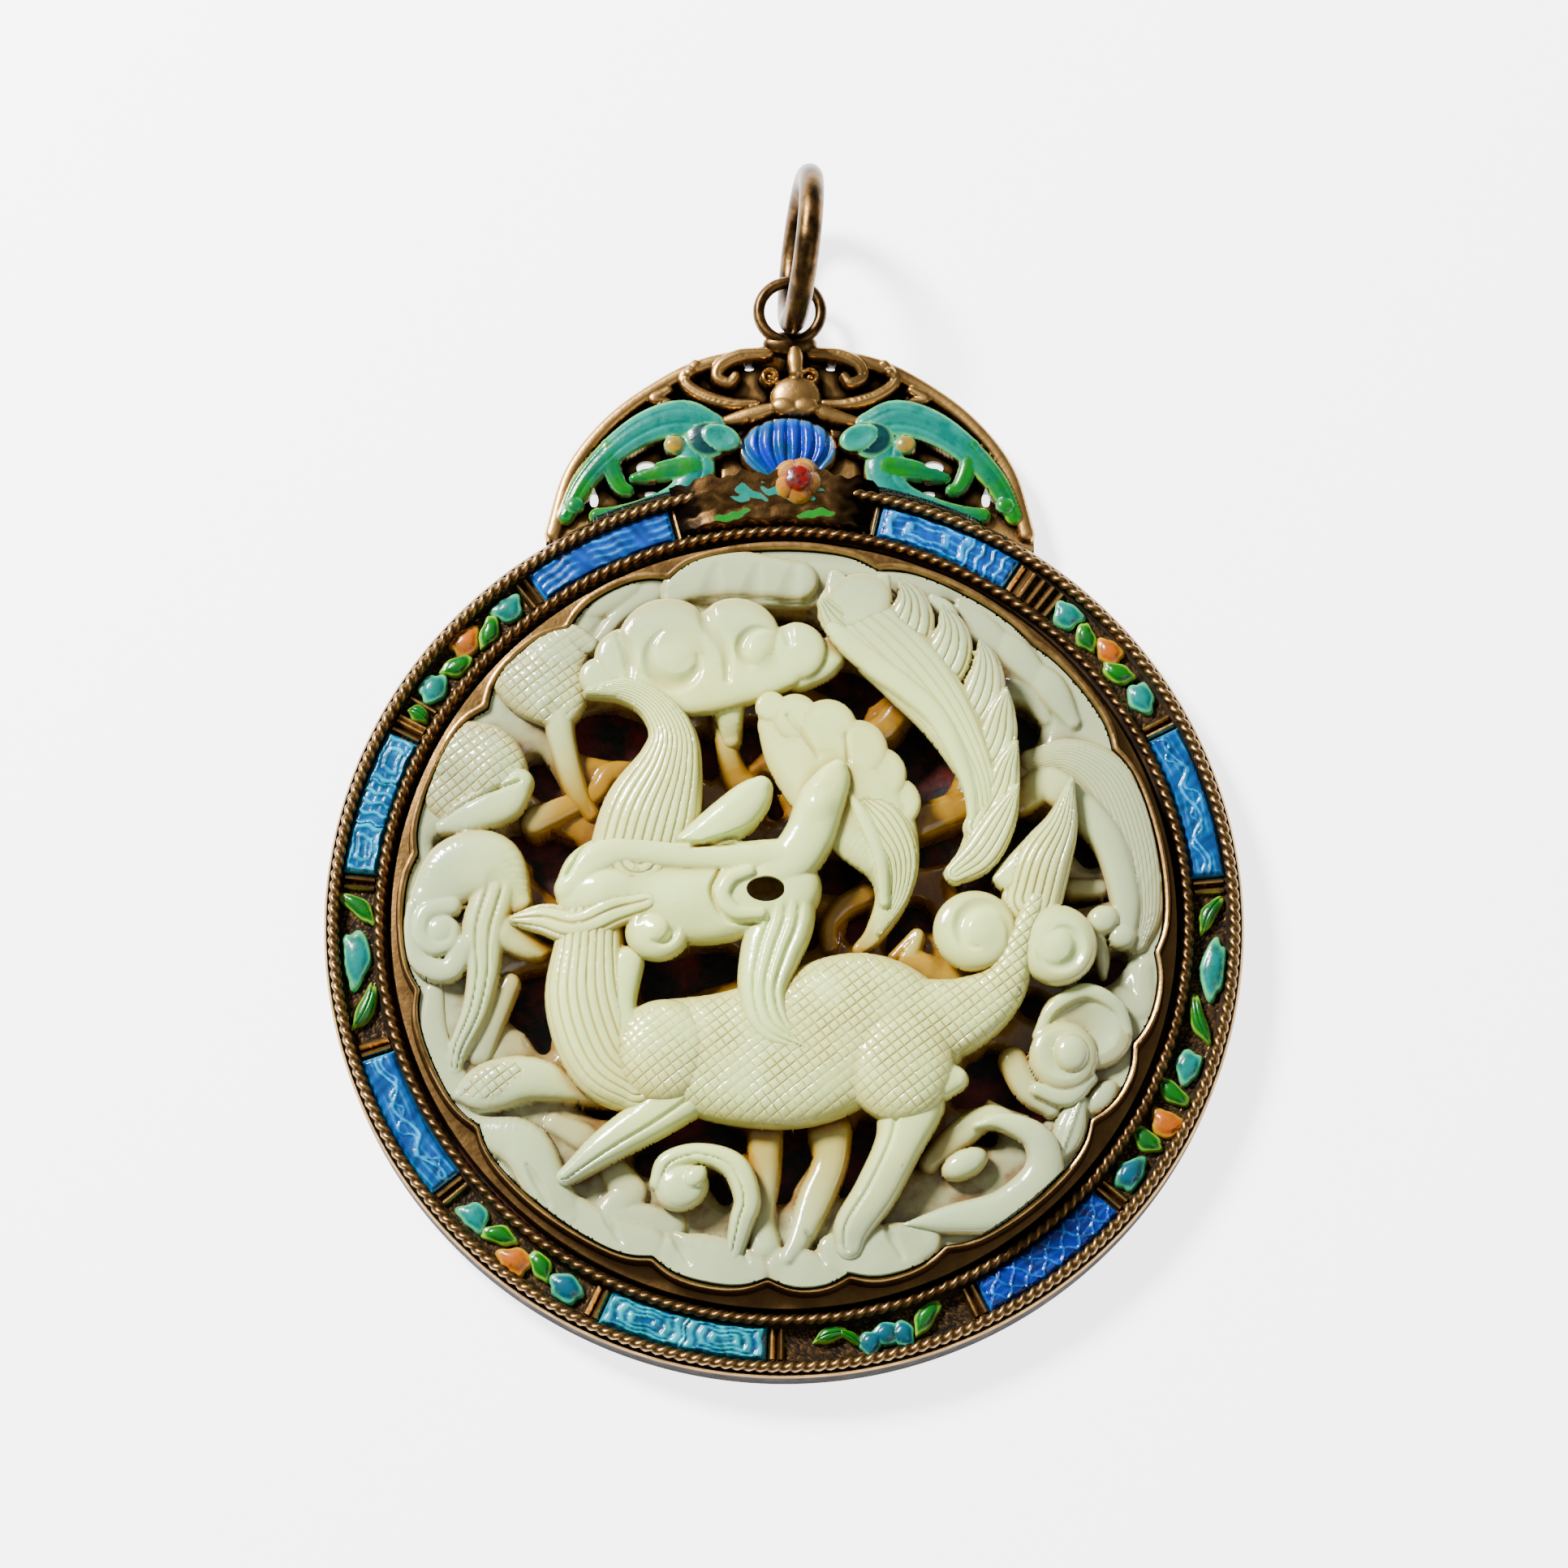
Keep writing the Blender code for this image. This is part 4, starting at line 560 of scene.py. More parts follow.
def carve_short_plume(relief):
    """The broad leaf behind the head: flat, with a scalloped edge and a veined lower half."""
    relief.band([(-1, 48, 6, 8.2), (6, 41, 11, 8.4), (14, 33, 13.5, 8.5), (22, 23, 12, 8.4),
                 (28, 13, 7.6, 7.8), (28.5, 4, 4.6, 6.8), (24, -5, 2.8, 5.8), (20, -9, 2, 5.2)], 1.1, flat=4)
    for u, v, radius, level in ((-3.4, 52.5, 4.2, 8.35), (3, 49.5, 6.5, 8.4), (11.5, 46.5, 8, 8.5),
                                (19.5, 41, 8, 8.5), (25, 34.5, 7.4, 8.4), (29.5, 27.5, 6.6, 8.2)):
        relief.dome(u, v, radius, radius, level, 0.6, flat=5)
    relief.band([(21, 27, 3, 8.5), (26, 21, 6.4, 8.7), (30.5, 13, 5, 8.3), (30, 4, 3.2, 7.2),
                 (25, -5, 1.4, 6.2)], 0.9, lines=7, cut=0.9, flat=3)
    relief.band([(16, 31, 1, 8.6), (21.5, 22, 2, 8.9), (25.5, 12, 2, 8.5), (26.5, 2, 1.6, 7.3)], 0.6, flat=2)
    relief.score([(1, 50, 0.8), (6, 44, 1.0), (9, 39, 0.8)], 0.3)
    relief.score([(16.5, 45, 0.8), (17, 38, 1.0)], 0.3)


def carve_near_legs(relief):
    relief.band([(-22, -44, 8, 8), (-34, -53, 6.2, 8), (-46, -60.5, 4.8, 7.6), (-57, -68.5, 2.6, 6.8)], 1.9,
                grooves=(0.35,))
    relief.band([(33, -50, 9, 8.4), (30, -60, 6.4, 8.2), (24, -72, 5.8, 7.8), (18, -81, 5.2, 7.4),
                 (17, -86, 4.2, 7)], 1.9, grooves=(-0.35,))


def carve_body(relief):
    relief.band([(-31, -36, 13, 8.8), (-14, -38, 17, 9), (4, -36, 20, 9.2), (20, -30, 19, 9.2),
                 (34, -32, 14, 9)], 3.0, hatch=1)
    relief.band([(34, -30, 12, 8.8), (47, -27, 9.5, 8.6), (57, -20, 6.5, 8.6), (62, -8, 4.2, 8.6),
                 (66, 2, 3.2, 8.4)], 2.2, hatch=1)
    relief.dome(30, -40, 14.5, 15.5, 9.7, 2.4, hatch=1)
    relief.band([(40, -44, 6, 8.6), (45, -44, 3.2, 8.2)], 1.6)


def carve_neck(relief):
    relief.band([(-50, 1, 9, 8.6), (-51, -10, 9.5, 8.6), (-51, -24, 11.5, 8.8), (-46, -38, 11, 8.6),
                 (-38, -45, 8, 8.2)], 2.4, lines=9, cut=0.8)
    relief.dome(-31, -37, 14, 13.5, 9.3, 2.2, 10, hatch=0.8)
    relief.band([(-41, -14, 4.5, 8.2), (-43, -25, 4.5, 8.4), (-41, -34, 4, 8.6)], 1.4)


def carve_tail(relief):
    relief.band([(65, 2, 8, 8.2), (68, 12, 7.5, 8.6), (73, 22, 4.5, 8.4), (76, 34, 0.9, 7.8)], 1.6, lines=7)
    relief.band([(56, 8, 1.5, 7.6), (61, 9, 5, 8), (66, 14, 5, 8.2)], 1.3)
    relief.dome(50, -6, 11, 10.5, 8.8, 1.5, flat=3)
    relief.dome(71.5, -9.5, 10.5, 10.5, 8.6, 1.5, flat=3)
    relief.curl(51.5, -6.5, 7.6, -20, sweep=5.0)
    relief.curl(72, -10, 6.4, 200, sweep=4.8)


def carve_flame(relief):
    """The tall lock of the mane that rises behind the head and hooks over at its tip."""
    relief.band([(-38, 13, 13.5, 9), (-35, 24, 13, 9.2), (-30.5, 36, 9, 9.2), (-29.5, 45, 6.4, 9),
                 (-34, 53, 4.6, 8.7), (-42, 57.5, 3.6, 8.4), (-52, 57, 1.4, 8)], 1.7, lines=11, cut=0.9)


def carve_head(relief):
    """The head turned back over the shoulder, with its horn, ear, curl and beard."""
    relief.dome(-33, -6.5, 8.6, 7.6, 9.2, 1.4)
    relief.curl(-33, -6.5, 5.4, 160, 0.3, 0.6, way=-1, sweep=4.8)
    relief.band([(-71, -2.5, 1.5, 7.4), (-63, -2.5, 4, 8), (-54, -4.5, 5, 8.6), (-44, -1, 4.5, 9),
                 (-36, 1, 3.5, 9.2)], 1.3, lines=3)
    relief.band([(-52, 4, 8, 8.7), (-38, 4, 9.5, 9.0), (-24, 1.5, 11, 9.2), (-12, 3, 11, 9.3),
                 (1, 5, 9, 9.2)], 2.0)
    relief.band([(0, 7, 8, 9.1), (-0.5, -3, 8.6, 9.2), (-3.5, -12, 8, 9.3), (-5.5, -22, 6.5, 9.5),
                 (-3, -31, 5.6, 9.5), (5, -36.5, 1.4, 9.3)], 1.8, grooves=(-0.35, 0.1, 0.5))
    relief.band([(-56, 5, 4.4, 8.7), (-52, 11, 5, 9.0), (-43, 14.5, 5, 9.2), (-30, 13.5, 4.8, 9.3),
                 (-14, 12.5, 4.6, 9.4), (2, 13, 5, 9.5)], 1.5, flat=2.2)
    relief.swell(-47.5, 4.5, 8.5, 8.5, 0.5)
    relief.swell(-26, 2, 12, 9, 0.3)
    relief.band([(-9, 8.6, 1.8, 9.7), (-14, 6.5, 2.2, 9.8), (-16, 2, 2.4, 9.8), (-12.5, -2, 2.2, 9.7),
                 (-6, -2.4, 1.8, 9.6)], 0.9)
    relief.band([(-3, 9, 6.5, 9.4), (3, 13, 6.8, 9.6), (7, 19, 6.8, 9.8), (9.5, 26, 6.6, 10),
                 (12.6, 32, 5.2, 9.9), (14.2, 35.5, 3.0, 9.7)], 2.0)
    relief.swell(9.3, 25.5, 5, 5, 0.3)
    relief.band([(-31, 13, 3, 9.2), (-22, 17.5, 5.2, 9.5), (-14, 23, 6, 9.8), (-9, 27.5, 5.4, 9.8),
                 (-6, 31, 3.2, 9.6)], 1.9)
    relief.dome(-19, 19.5, 5.6, 5.2, 9.6, 1.4, 30)
    relief.score([(-24, 15, 0.8), (-13, 18, 1.1), (-3.5, 22, 1.0)], 0.8)
    relief.score([(-57, 8, 0.9), (-50, 17, 0.9), (-36, 17.5, 0.9), (-20, 15.5, 0.9), (-6, 16.5, 0.8)], 0.5)
    relief.score([(-17, 9, 0.8), (-19, 3, 1.0), (-15, -4, 0.8), (-6, -5, 0.6)], 0.45)
    relief.cut((np.hypot((relief.u + 4.8) / 5, (relief.v - 4) / 3.3) - 1) * 3.3)


# The carving's layers, back to front: name, the level its walls start from, its forms, and its box in u and v
PLAQUE_LAYERS = (
    ("ground", 0.0, (lay_ground, carve_rim_leaves, carve_branches, carve_far_legs, carve_ground_clouds),
     (-101, 101, -101, 101)),
    ("ribbon", 2.6, (carve_right_ribbon,), (56, 101, -20, 50)),
    ("fungus", 2.6, (carve_left_fungus,), (-101, -44, -50, 84)),
    ("cloud", 3.0, (carve_top_cloud,), (-56, 18, 40, 86)),
    ("flower", 2.6, (carve_right_flower,), (54, 96, -56, -16)),
    ("scrolls", 2.6, (carve_scrolls,), (-40, 76, -94, -44)),
    ("short_plume", 2.6, (carve_short_plume,), (-14, 42, -15, 62)),
    ("long_plume", 2.6, (carve_long_plume,), (4, 68, 2, 95)),
    ("legs", 2.6, (carve_near_legs,), (-66, 46, -94, -34)),
    ("body", 2.6, (carve_body,), (-50, 76, -62, 10)),
    ("tail", 2.6, (carve_tail,), (36, 88, -24, 40)),
    ("flame", 2.6, (carve_flame,), (-58, -14, -6, 66)),
    ("neck", 2.6, (carve_neck,), (-68, -10, -60, 16)),
    ("head", 2.6, (carve_head,), (-76, 24, -42, 43)),
)
BEAST_LAYERS = ("legs", "body", "tail", "flame", "neck", "head")


def groove(phase, sharpness):
    """A V-shaped line at every half-way point of a counting phase: 1 in the line, 0 between."""
    return np.clip(1 - np.abs(phase % 1.0 - 0.5) * sharpness, 0, 1)


def engrave(relief):
    """Cut the stripes and the cross-hatching into the surface as shallow V-shaped lines."""
    turn = math.radians(HATCH_TURN)
    one_way = (relief.u * math.cos(turn) + relief.v * math.sin(turn)) / HATCH_PITCH
    other_way = (relief.v * math.cos(turn) - relief.u * math.sin(turn)) / HATCH_PITCH
    cross = np.maximum(groove(one_way, 6.0), groove(other_way, 6.0))
    stripes = groove(relief.marks["stripe"], 4.5)
    relief.level -= 0.1 * relief.marks["hatch"] * cross + 0.16 * relief.marks["stripe_cut"] * stripes


def carve_layer(forms, u, v):
    """One layer of the plaque at places u, v, clipped by the plaque's lobed edge.

    The forms' places run a thirtieth shorter along v than they are, so v is stretched by that much.
    """
    relief = Relief(u, v / TILT_STRETCH)
    for form in forms:
        form(relief)
    relief.v = v.ravel()
    relief.cut(lobed_edge(np.arctan2(relief.v, relief.u)) - np.hypot(relief.u, relief.v))
    engrave(relief)
    return relief


def drop_pinches(kept):
    """Remove faces that touch another only at a corner, so that every edge of the body has two faces."""
    while True:
        a = kept[:-1, :-1]
        b = kept[:-1, 1:]
        c = kept[1:, :-1]
        d = kept[1:, 1:]
        falling = a & d & ~b & ~c
        rising = b & c & ~a & ~d
        if not (falling.any() or rising.any()):
            return kept
        d &= ~falling
        c &= ~rising


def closed_relief(carve, box, step, floor, undercut=0.0):
    """A closed body under a carved surface, as places (u, v, level), faces and marks.

    Its back is flat, or hollowed out within the undercut's width of its outline, so that the edge is thin.

    Grid points close to the outline move along the slope of the edge field until they lie on it. Faces whose
    corners all lie inside are kept, copied to the floor, and joined to it by walls along their free edges.
    """
    u_low, u_high, v_low, v_high = box
    columns = int((u_high - u_low) / step) + 1
    rows = int((v_high - v_low) / step) + 1
    u, v = np.meshgrid(u_low + step * np.arange(columns), v_low + step * np.arange(rows))
    edge = carve(u, v).edge.reshape(u.shape)
    slope_v, slope_u = np.gradient(edge, step)
    nearby = 0.6 * step
    steepness = np.maximum(slope_u**2 + slope_v**2, 0.2)
    to_line = np.where(np.abs(edge) < nearby, 0.02 - edge, 0.0) / steepness
    u = u + np.clip(to_line * slope_u, -nearby, nearby)
    v = v + np.clip(to_line * slope_v, -nearby, nearby)
    inside = edge > -nearby
    relief = carve(u, v)
    level = np.maximum(relief.level, floor + 0.3)
    kept = inside[:-1, :-1] & inside[1:, :-1] & inside[:-1, 1:] & inside[1:, 1:]
    kept = np.pad(drop_pinches(kept), 1)
    row, column = np.nonzero(kept)
    row -= 1
    column -= 1
    corner = row * columns + column
    top = np.stack([corner, corner + 1, corner + columns + 1, corner + columns], axis=-1)
    free = (~kept[row, column + 1], ~kept[row + 1, column + 2], ~kept[row + 2, column + 1],
            ~kept[row + 1, column])
    rim = np.vstack([top[open_side][:, [side, (side + 1) % 4]] for side, open_side in enumerate(free)])
    used, numbered = np.unique(top, return_inverse=True)
    top = numbered.reshape(-1, 4)
    rim = np.searchsorted(used, rim)
    count = len(used)
    walls = np.column_stack([rim[:, 1], rim[:, 0], rim[:, 0] + count, rim[:, 1] + count])
    faces = np.vstack([top, top[:, ::-1] + count, walls])
    flat_u = u.ravel()[used]
    flat_v = v.ravel()[used]
    upper = np.column_stack([flat_u, flat_v, level[used]])
    lift = np.clip(1 - relief.edge[used] / undercut, 0, 1) ** 1.4 if undercut else 0.0
    lower = np.column_stack([flat_u, flat_v, floor + np.maximum(level[used] - 0.5 - floor, 0) * lift])
    marks = {name: np.tile(values[used], 2) for name, values in relief.marks.items()}
    return np.vstack([upper, lower]), faces, marks


def quad_sheet(rows, columns, open_edge=1):
    """Faces of a grid of points; columns crossed with rows gives the side that they face.

    A grid that closes on itself both ways has an open edge of 0.
    """
    row, column = np.meshgrid(np.arange(rows - open_edge), np.arange(columns - open_edge), indexing="ij")
    next_row = (row + 1) % rows
    next_column = (column + 1) % columns
    faces = np.stack([row * columns + column, row * columns + next_column,
                      next_row * columns + next_column, next_row * columns + column], axis=-1)
    return faces.reshape(-1, 4)


def slab(top, floor, marks):
    """A closed body under a grid of points: the grid, its copy at the floor's height, and four walls."""
    rows, columns = top.shape[:2]
    count = rows * columns
    number = np.arange(count).reshape(rows, columns)
    ring = np.concatenate([number[0, :-1], number[:-1, -1], number[-1, :0:-1], number[:0:-1, 0]])
    following = np.roll(ring, -1)
    upper = top.reshape(-1, 3)
    lower = upper.copy()
    lower[:, 2] = floor
    sheet = quad_sheet(rows, columns)
    walls = np.column_stack([following, ring, ring + count, following + count])
    faces = np.vstack([sheet, sheet[:, ::-1] + count, walls])
    doubled = {name: np.concatenate([values.reshape(count, -1)] * 2) for name, values in marks.items()}
    return np.vstack([upper, lower]), faces, doubled


def wound_ring(angles, radius, height, marks):
    """A closed ring: at each angle a closed section that rises outside and falls inside."""
    places = np.stack([radius * np.cos(angles)[:, None], radius * np.sin(angles)[:, None], height], axis=-1)
    faces = quad_sheet(*radius.shape, open_edge=0)[:, ::-1]
    return places.reshape(-1, 3), faces, {name: values.reshape(-1, 1) for name, values in marks.items()}


def lathe_columns(section, steps):
    """A section's places, each of radius, height and hollow, as columns of one value for every angle."""
    return [[np.broadcast_to(value, (steps, 1)) for value in place] for place in section]


def lathe_ring(angles, columns):
    """The closed ring through columns of radius, height and hollow."""
    radius, height, hollow = (np.hstack([column[part] for column in columns]) for part in range(3))
    return wound_ring(angles, radius, height, {"hollow": hollow})


def gather(parts):
    """Several bodies as one set of places, faces and marks."""
    shift = np.cumsum([0] + [len(part[0]) for part in parts[:-1]])
    places = np.vstack([part[0] for part in parts])
    faces = np.vstack([part[1] + start for part, start in zip(parts, shift)])
    marks = {name: np.concatenate([np.reshape(part[2][name], (len(part[0]), -1)) for part in parts])
             for name in parts[0][2]}
    return places, faces, marks


def make_piece(name, body, finish, nodes=(), most_triangles=None, sharp_over=45):
    """Put a body into the scene: its mesh in place, its marks as attributes, riding on the pendant."""
    places, faces, marks = body
    mesh = bpy.data.meshes.new(name)
    mesh.vertices.add(len(places))
    mesh.vertices.foreach_set("co", np.ascontiguousarray(places, np.float32).ravel())
    mesh.loops.add(faces.size)
    mesh.loops.foreach_set("vertex_index", np.ascontiguousarray(faces, np.int32).ravel())
    mesh.polygons.add(len(faces))
    mesh.polygons.foreach_set("loop_start", np.arange(0, faces.size, 4, dtype=np.int32))
    mesh.update(calc_edges=True)
    mesh.validate()
    for mark, values in marks.items():
        values = np.asarray(values, np.float32).reshape(len(places), -1)
        if values.shape[1] == 3:
            layer = mesh.attributes.new(mark, 'FLOAT_COLOR', 'POINT')
            layer.data.foreach_set("color", np.column_stack([values, np.ones(len(values))]).ravel())
        else:
            layer = mesh.attributes.new(mark, 'FLOAT', 'POINT')
            layer.data.foreach_set("value", values.ravel())
    piece = bpy.data.objects.new(name, mesh)
    bpy.context.scene.collection.objects.link(piece)
    if most_triangles and 2 * len(faces) > most_triangles:
        thinner = piece.modifiers.new("fewer_faces", 'DECIMATE')
        thinner.ratio = most_triangles / (2 * len(faces))
        shaped = bpy.data.meshes.new_from_object(piece.evaluated_get(bpy.context.evaluated_depsgraph_get()))
        piece.modifiers.clear()
        piece.data = shaped
        bpy.data.meshes.remove(mesh)
        shaped.name = name
        mesh = shaped
    mesh.shade_smooth()
    mesh.set_sharp_from_angle(angle=math.radians(sharp_over))
    mesh.materials.clear()
    mesh.materials.append(finish)
    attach(piece, "root")
    if nodes:
        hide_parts(*nodes)


class Term:
    """A shader socket that can be summed and multiplied like a number."""

    def __init__(self, finish, socket):
        self.finish = finish
        self.socket = socket

    def maths(self, operation, *others, clamp=False):
        values = dict(enumerate((self, *others)))
        return self.finish.node('ShaderNodeMath', {"operation": operation, "use_clamp": clamp}, values)

    def __add__(self, other):
        return self.maths('ADD', other)

    def __sub__(self, other):
        return self.maths('SUBTRACT', other)

    def __rsub__(self, other):
        return self.finish.node('ShaderNodeMath', {"operation": 'SUBTRACT'}, {0: other, 1: self})

    def __mul__(self, other):
        return self.maths('MULTIPLY', other)

    def limited(self):
        return self.maths('ADD', 0.0, clamp=True)


class Finish:
    """A material under construction: one method makes its nodes, and the rest are short names for it."""

    def __init__(self, name, **constants):
        self.material = bpy.data.materials.new(name)
        self.material.use_nodes = True
        self.tree = self.material.node_tree
        self.shader = self.tree.nodes["Principled BSDF"]
        for socket, value in constants.items():
            self.shader.inputs[socket.replace("_", " ")].default_value = value

    def node(self, kind, settings=None, values=None, output=0):
        made = self.tree.nodes.new(kind)
        for name, value in (settings or {}).items():
            setattr(made, name, value)
        for key, value in (values or {}).items():
            if isinstance(value, Term):
                self.tree.links.new(value.socket, made.inputs[key])
            else:
                made.inputs[key].default_value = value
        return Term(self, made.outputs[output])

    def places(self):
        return self.node('ShaderNodeTexCoord', output="Object")

    def mark(self, name, output="Fac"):
        return self.node('ShaderNodeAttribute', {"attribute_name": name}, output=output)

    def noise(self, size, detail=3.0, roughness=0.5):
        """Cloudy noise whose patches are about size metres across."""
        values = {"Vector": self.places(), "Scale": 1 / size, "Detail": detail, "Roughness": roughness}
        return self.node('ShaderNodeTexNoise', None, values)

    def between(self, value, low, high):
        """0 below low and 1 above high, straight in between."""
        return self.node('ShaderNodeMapRange', {"clamp": True},
                         {"Value": value, "From Min": low, "From Max": high})

    def scratch(self, phase, sharpness):
        """The groove function as nodes: a line at every half-way point of a counting phase."""
        off = (phase.maths('FRACT') - 0.5).maths('ABSOLUTE')
        return (1 - off * sharpness).limited()

    def mix(self, share, first, second):
        first = first if isinstance(first, Term) else (*first, 1.0)
        second = second if isinstance(second, Term) else (*second, 1.0)
        return self.node('ShaderNodeMix', {"data_type": 'RGBA'}, {0: share, 6: first, 7: second}, output=2)

    def bump(self, height, depth, strength=1.0):
        return self.node('ShaderNodeBump', None, {"Strength": strength, "Distance": depth, "Height": height})

    def feed(self, **inputs):
        for socket, value in inputs.items():
            self.tree.links.new(value.socket, self.shader.inputs[socket.replace("_", " ")])
        return self.material


def jade_finish(look):
    """Polished nephrite: pale on the heights and cooler near the rim, with painted shade that turns it warm
    in the hollows, on the deep layers, on the forms' sides and in the cut lines, and spots of brown staining
    and painted shade in the hollows.
    """
    made = Finish("pale_jade", IOR=1.6, Subsurface_Weight=0.14, Subsurface_Scale=0.0009,
                  Subsurface_Radius=(1.0, 0.95, 0.6))
    cloud = made.noise(0.009, 4.0, 0.55)
    hollow = made.mark("hollow")
    at_rim = made.mark("far")
    deep = made.mark("deep")
    turn = math.radians(HATCH_TURN)
    pitch = HATCH_PITCH * PLAQUE_UNIT
    x, y = (made.node('ShaderNodeSeparateXYZ', None, {0: made.places()}, output=axis) for axis in (0, 1))
    one_way = made.scratch(x * (math.cos(turn) / pitch) + y * (math.sin(turn) / pitch), 8.0)
    other_way = made.scratch(y * (math.cos(turn) / pitch) - x * (math.sin(turn) / pitch), 8.0)
    worn = made.between(made.noise(0.004), 0.3, 0.6)
    hatched = one_way.maths('MAXIMUM', other_way) * made.mark("hatch") * worn
    striped = made.scratch(made.mark("stripe"), 5.0) * made.mark("stripe_cut")
    lines = (hatched + striped).limited()
    colour = made.mix(made.between(cloud, 0.42, 0.7) * 0.4, look.pale, paint(196, 186, 100))
    # Painted shade: warm yellow in the hollows and on the deep layers, less of it near the rim.
    colour = made.mix(made.between(hollow + deep * 0.8, 0.06, 0.55) * (1 - at_rim * 0.6), colour, look.warm)
    # Painted shade: darker gold on the lowest layers.
    colour = made.mix(made.between(deep, 0.25, 0.8) * (0.85 - at_rim * 0.6), colour, paint(128, 90, 8))
    colour = made.mix(at_rim * 0.7, colour, look.rim)
    # Painted shade: warm on the sloping sides of each form.
    colour = made.mix(made.between(made.mark("side"), 0.66, 1.0) * 0.55, colour, look.warm)
    # Painted shade: the cut lines warm and darker.
    colour = made.mix(lines * 0.85, colour, look.warm)
    # Brown staining and painted shade: spots of the deep colour in the hollows and on the deep layers.
    spots = made.between(made.noise(0.0025), 0.3, 0.62)
    stain_and_shade = (made.between(hollow + deep * 0.4, 0.4, 0.85) * spots).limited()
    colour = made.mix(stain_and_shade * 0.85, colour, look.deep)
    roughness = made.noise(0.002) * 0.1 + lines * 0.25 + 0.09
    normal = made.bump(made.noise(0.0011, 4.0) - lines * 1.5, 0.00006, 0.8)
    return made.feed(Base_Color=colour, Roughness=roughness, Normal=normal)


def metal_finish(look, name, dark=0.0):
    """Aged silver gilt: rubbed bright on the ridges, toned on the flats, and black with grime and painted
    shade in the hollows.
    """
    made = Finish(name, Specular_IOR_Level=0.1)
    hollow = made.mark("hollow")
    patches = made.noise(0.0022, 5.0, 0.65)
    worn = (made.between(hollow, 0.45, 0.05) * made.between(patches, 0.2, 0.6) - dark).limited()
    colour = made.mix(worn, look.ground, look.ridge)
    # Grime and painted shade: black and less metallic in the hollows and on the frame's outer wall, which
    # also dulls the reflection there.
    dirt_and_shade = made.between(hollow + (patches - 0.5) * 0.5, 0.45, 0.95)
    colour = made.mix(dirt_and_shade, colour, look.dirt_and_shade)
    roughness = dirt_and_shade * 0.45 + made.noise(0.0006) * 0.2 + 0.24
    normal = made.bump(made.noise(0.00035, 3.0), 0.00003, 0.7)
    return made.feed(Base_Color=colour, Roughness=roughness, Normal=normal, Metallic=1 - dirt_and_shade * 0.9)


def plain_metal_finish(look, name):
    """The same aged metal for a smooth round wire, toned by patches alone."""
    made = Finish(name, Metallic=1.0)
    patches = made.noise(0.003, 5.0, 0.6)
    colour = made.mix(made.between(patches, 0.45, 0.8) * 0.4, look.ground, look.ridge)
    colour = made.mix(made.between(made.noise(0.0016, 4.0), 0.4, 0.62) * 0.75, colour, look.dirt_and_shade)
    roughness = patches * 0.25 + 0.2
    return made.feed(Base_Color=colour, Roughness=roughness,
                     Normal=made.bump(made.noise(0.0005, 3.0), 0.00004, 0.6))


def backing_finish():
    """Sheet behind the piercings: black-brown as painted shade under the deep openings, with red-brown and
    greenish mottling as tarnish.
    """
    made = Finish("tarnished_silver", Metallic=0.3)
    mottling = made.between(made.noise(0.004, 4.0, 0.6), 0.42, 0.62)
    # Painted shade: a near-black base where the openings look deep; the red-brown mottling is tarnish.
    colour = made.mix(mottling, paint(4, 3, 3), paint(104, 26, 10))
    colour = made.mix(made.between(made.noise(0.0026, 3.0), 0.58, 0.7) * 0.5, colour, paint(16, 34, 22))
    roughness = made.noise(0.0015) * 0.3 + 0.3
    return made.feed(Base_Color=colour, Roughness=roughness,
                     Normal=made.bump(made.noise(0.0012, 4.0), 0.0001, 0.8))


def enamel_finish(look, name, pooled=paint(0, 34, 96), over_metal=False):
    """Glassy enamel in the colour that each point carries; over metal, only where the enamel mark is."""
    made = Finish(name, Coat_Weight=0.15, Coat_Roughness=0.06, IOR=1.4)
    speckle = made.between(made.noise(0.0005, 4.0, 0.6), 0.64, 0.74) * 0.6
    pool = made.between(made.noise(0.0019, 4.0, 0.6), 0.45, 0.66) * 0.6
    colour = made.mix(pool, made.mark("tint", "Color"), pooled)
    colour = made.mix(speckle, colour, paint(4, 12, 30))
    roughness = made.noise(0.0009) * 0.2 + 0.14
    normal = made.bump(made.noise(0.0006, 4.0), 0.00005, 0.8)
    made.feed(Base_Color=colour, Roughness=roughness, Normal=normal)
    if not over_metal:
        return made.material
    both = made.node('ShaderNodeMixShader', None,
                     {0: made.between(made.mark("enamel"), 0.35, 0.65), 1: metal_nodes(made, look),
                      2: Term(made, made.shader.outputs[0])})
    made.tree.links.new(both.socket, made.tree.nodes["Material Output"].inputs["Surface"])
    return made.material


def metal_nodes(made, look):
    """A second shader in the same material, for the bare metal between the enamels."""
    hollow = made.mark("hollow")
    patches = made.noise(0.002, 5.0, 0.65)
    # Darker toward the hollows, as grime and painted shade.
    colour = made.mix(made.between(hollow + (patches - 0.5) * 0.4, 0.05, 0.5), look.ridge, look.ground)
    colour = made.mix(made.between(hollow, 0.5, 0.9), colour, look.dirt_and_shade)
    return made.node('ShaderNodeBsdfPrincipled', None,
                     {"Base Color": colour, "Roughness": patches * 0.25 + 0.22, "Metallic": 1.0,
                      "Normal": made.bump(made.noise(0.0004, 3.0), 0.00003, 0.7)})


def blurred(field, reach):
    """The field's mean over a square of the given half width, by running sums along both axes."""
    width = 2 * reach + 1
    for axis in (0, 1):
        margins = [(reach + 1, reach) if side == axis else (0, 0) for side in (0, 1)]
        padded = np.pad(field, margins, mode="edge")
        sums = np.cumsum(padded, axis=axis)
        ahead = np.take(sums, np.arange(width, padded.shape[axis]), axis=axis)
        behind = np.take(sums, np.arange(0, padded.shape[axis] - width), axis=axis)
        field = (ahead - behind) / width
    return field


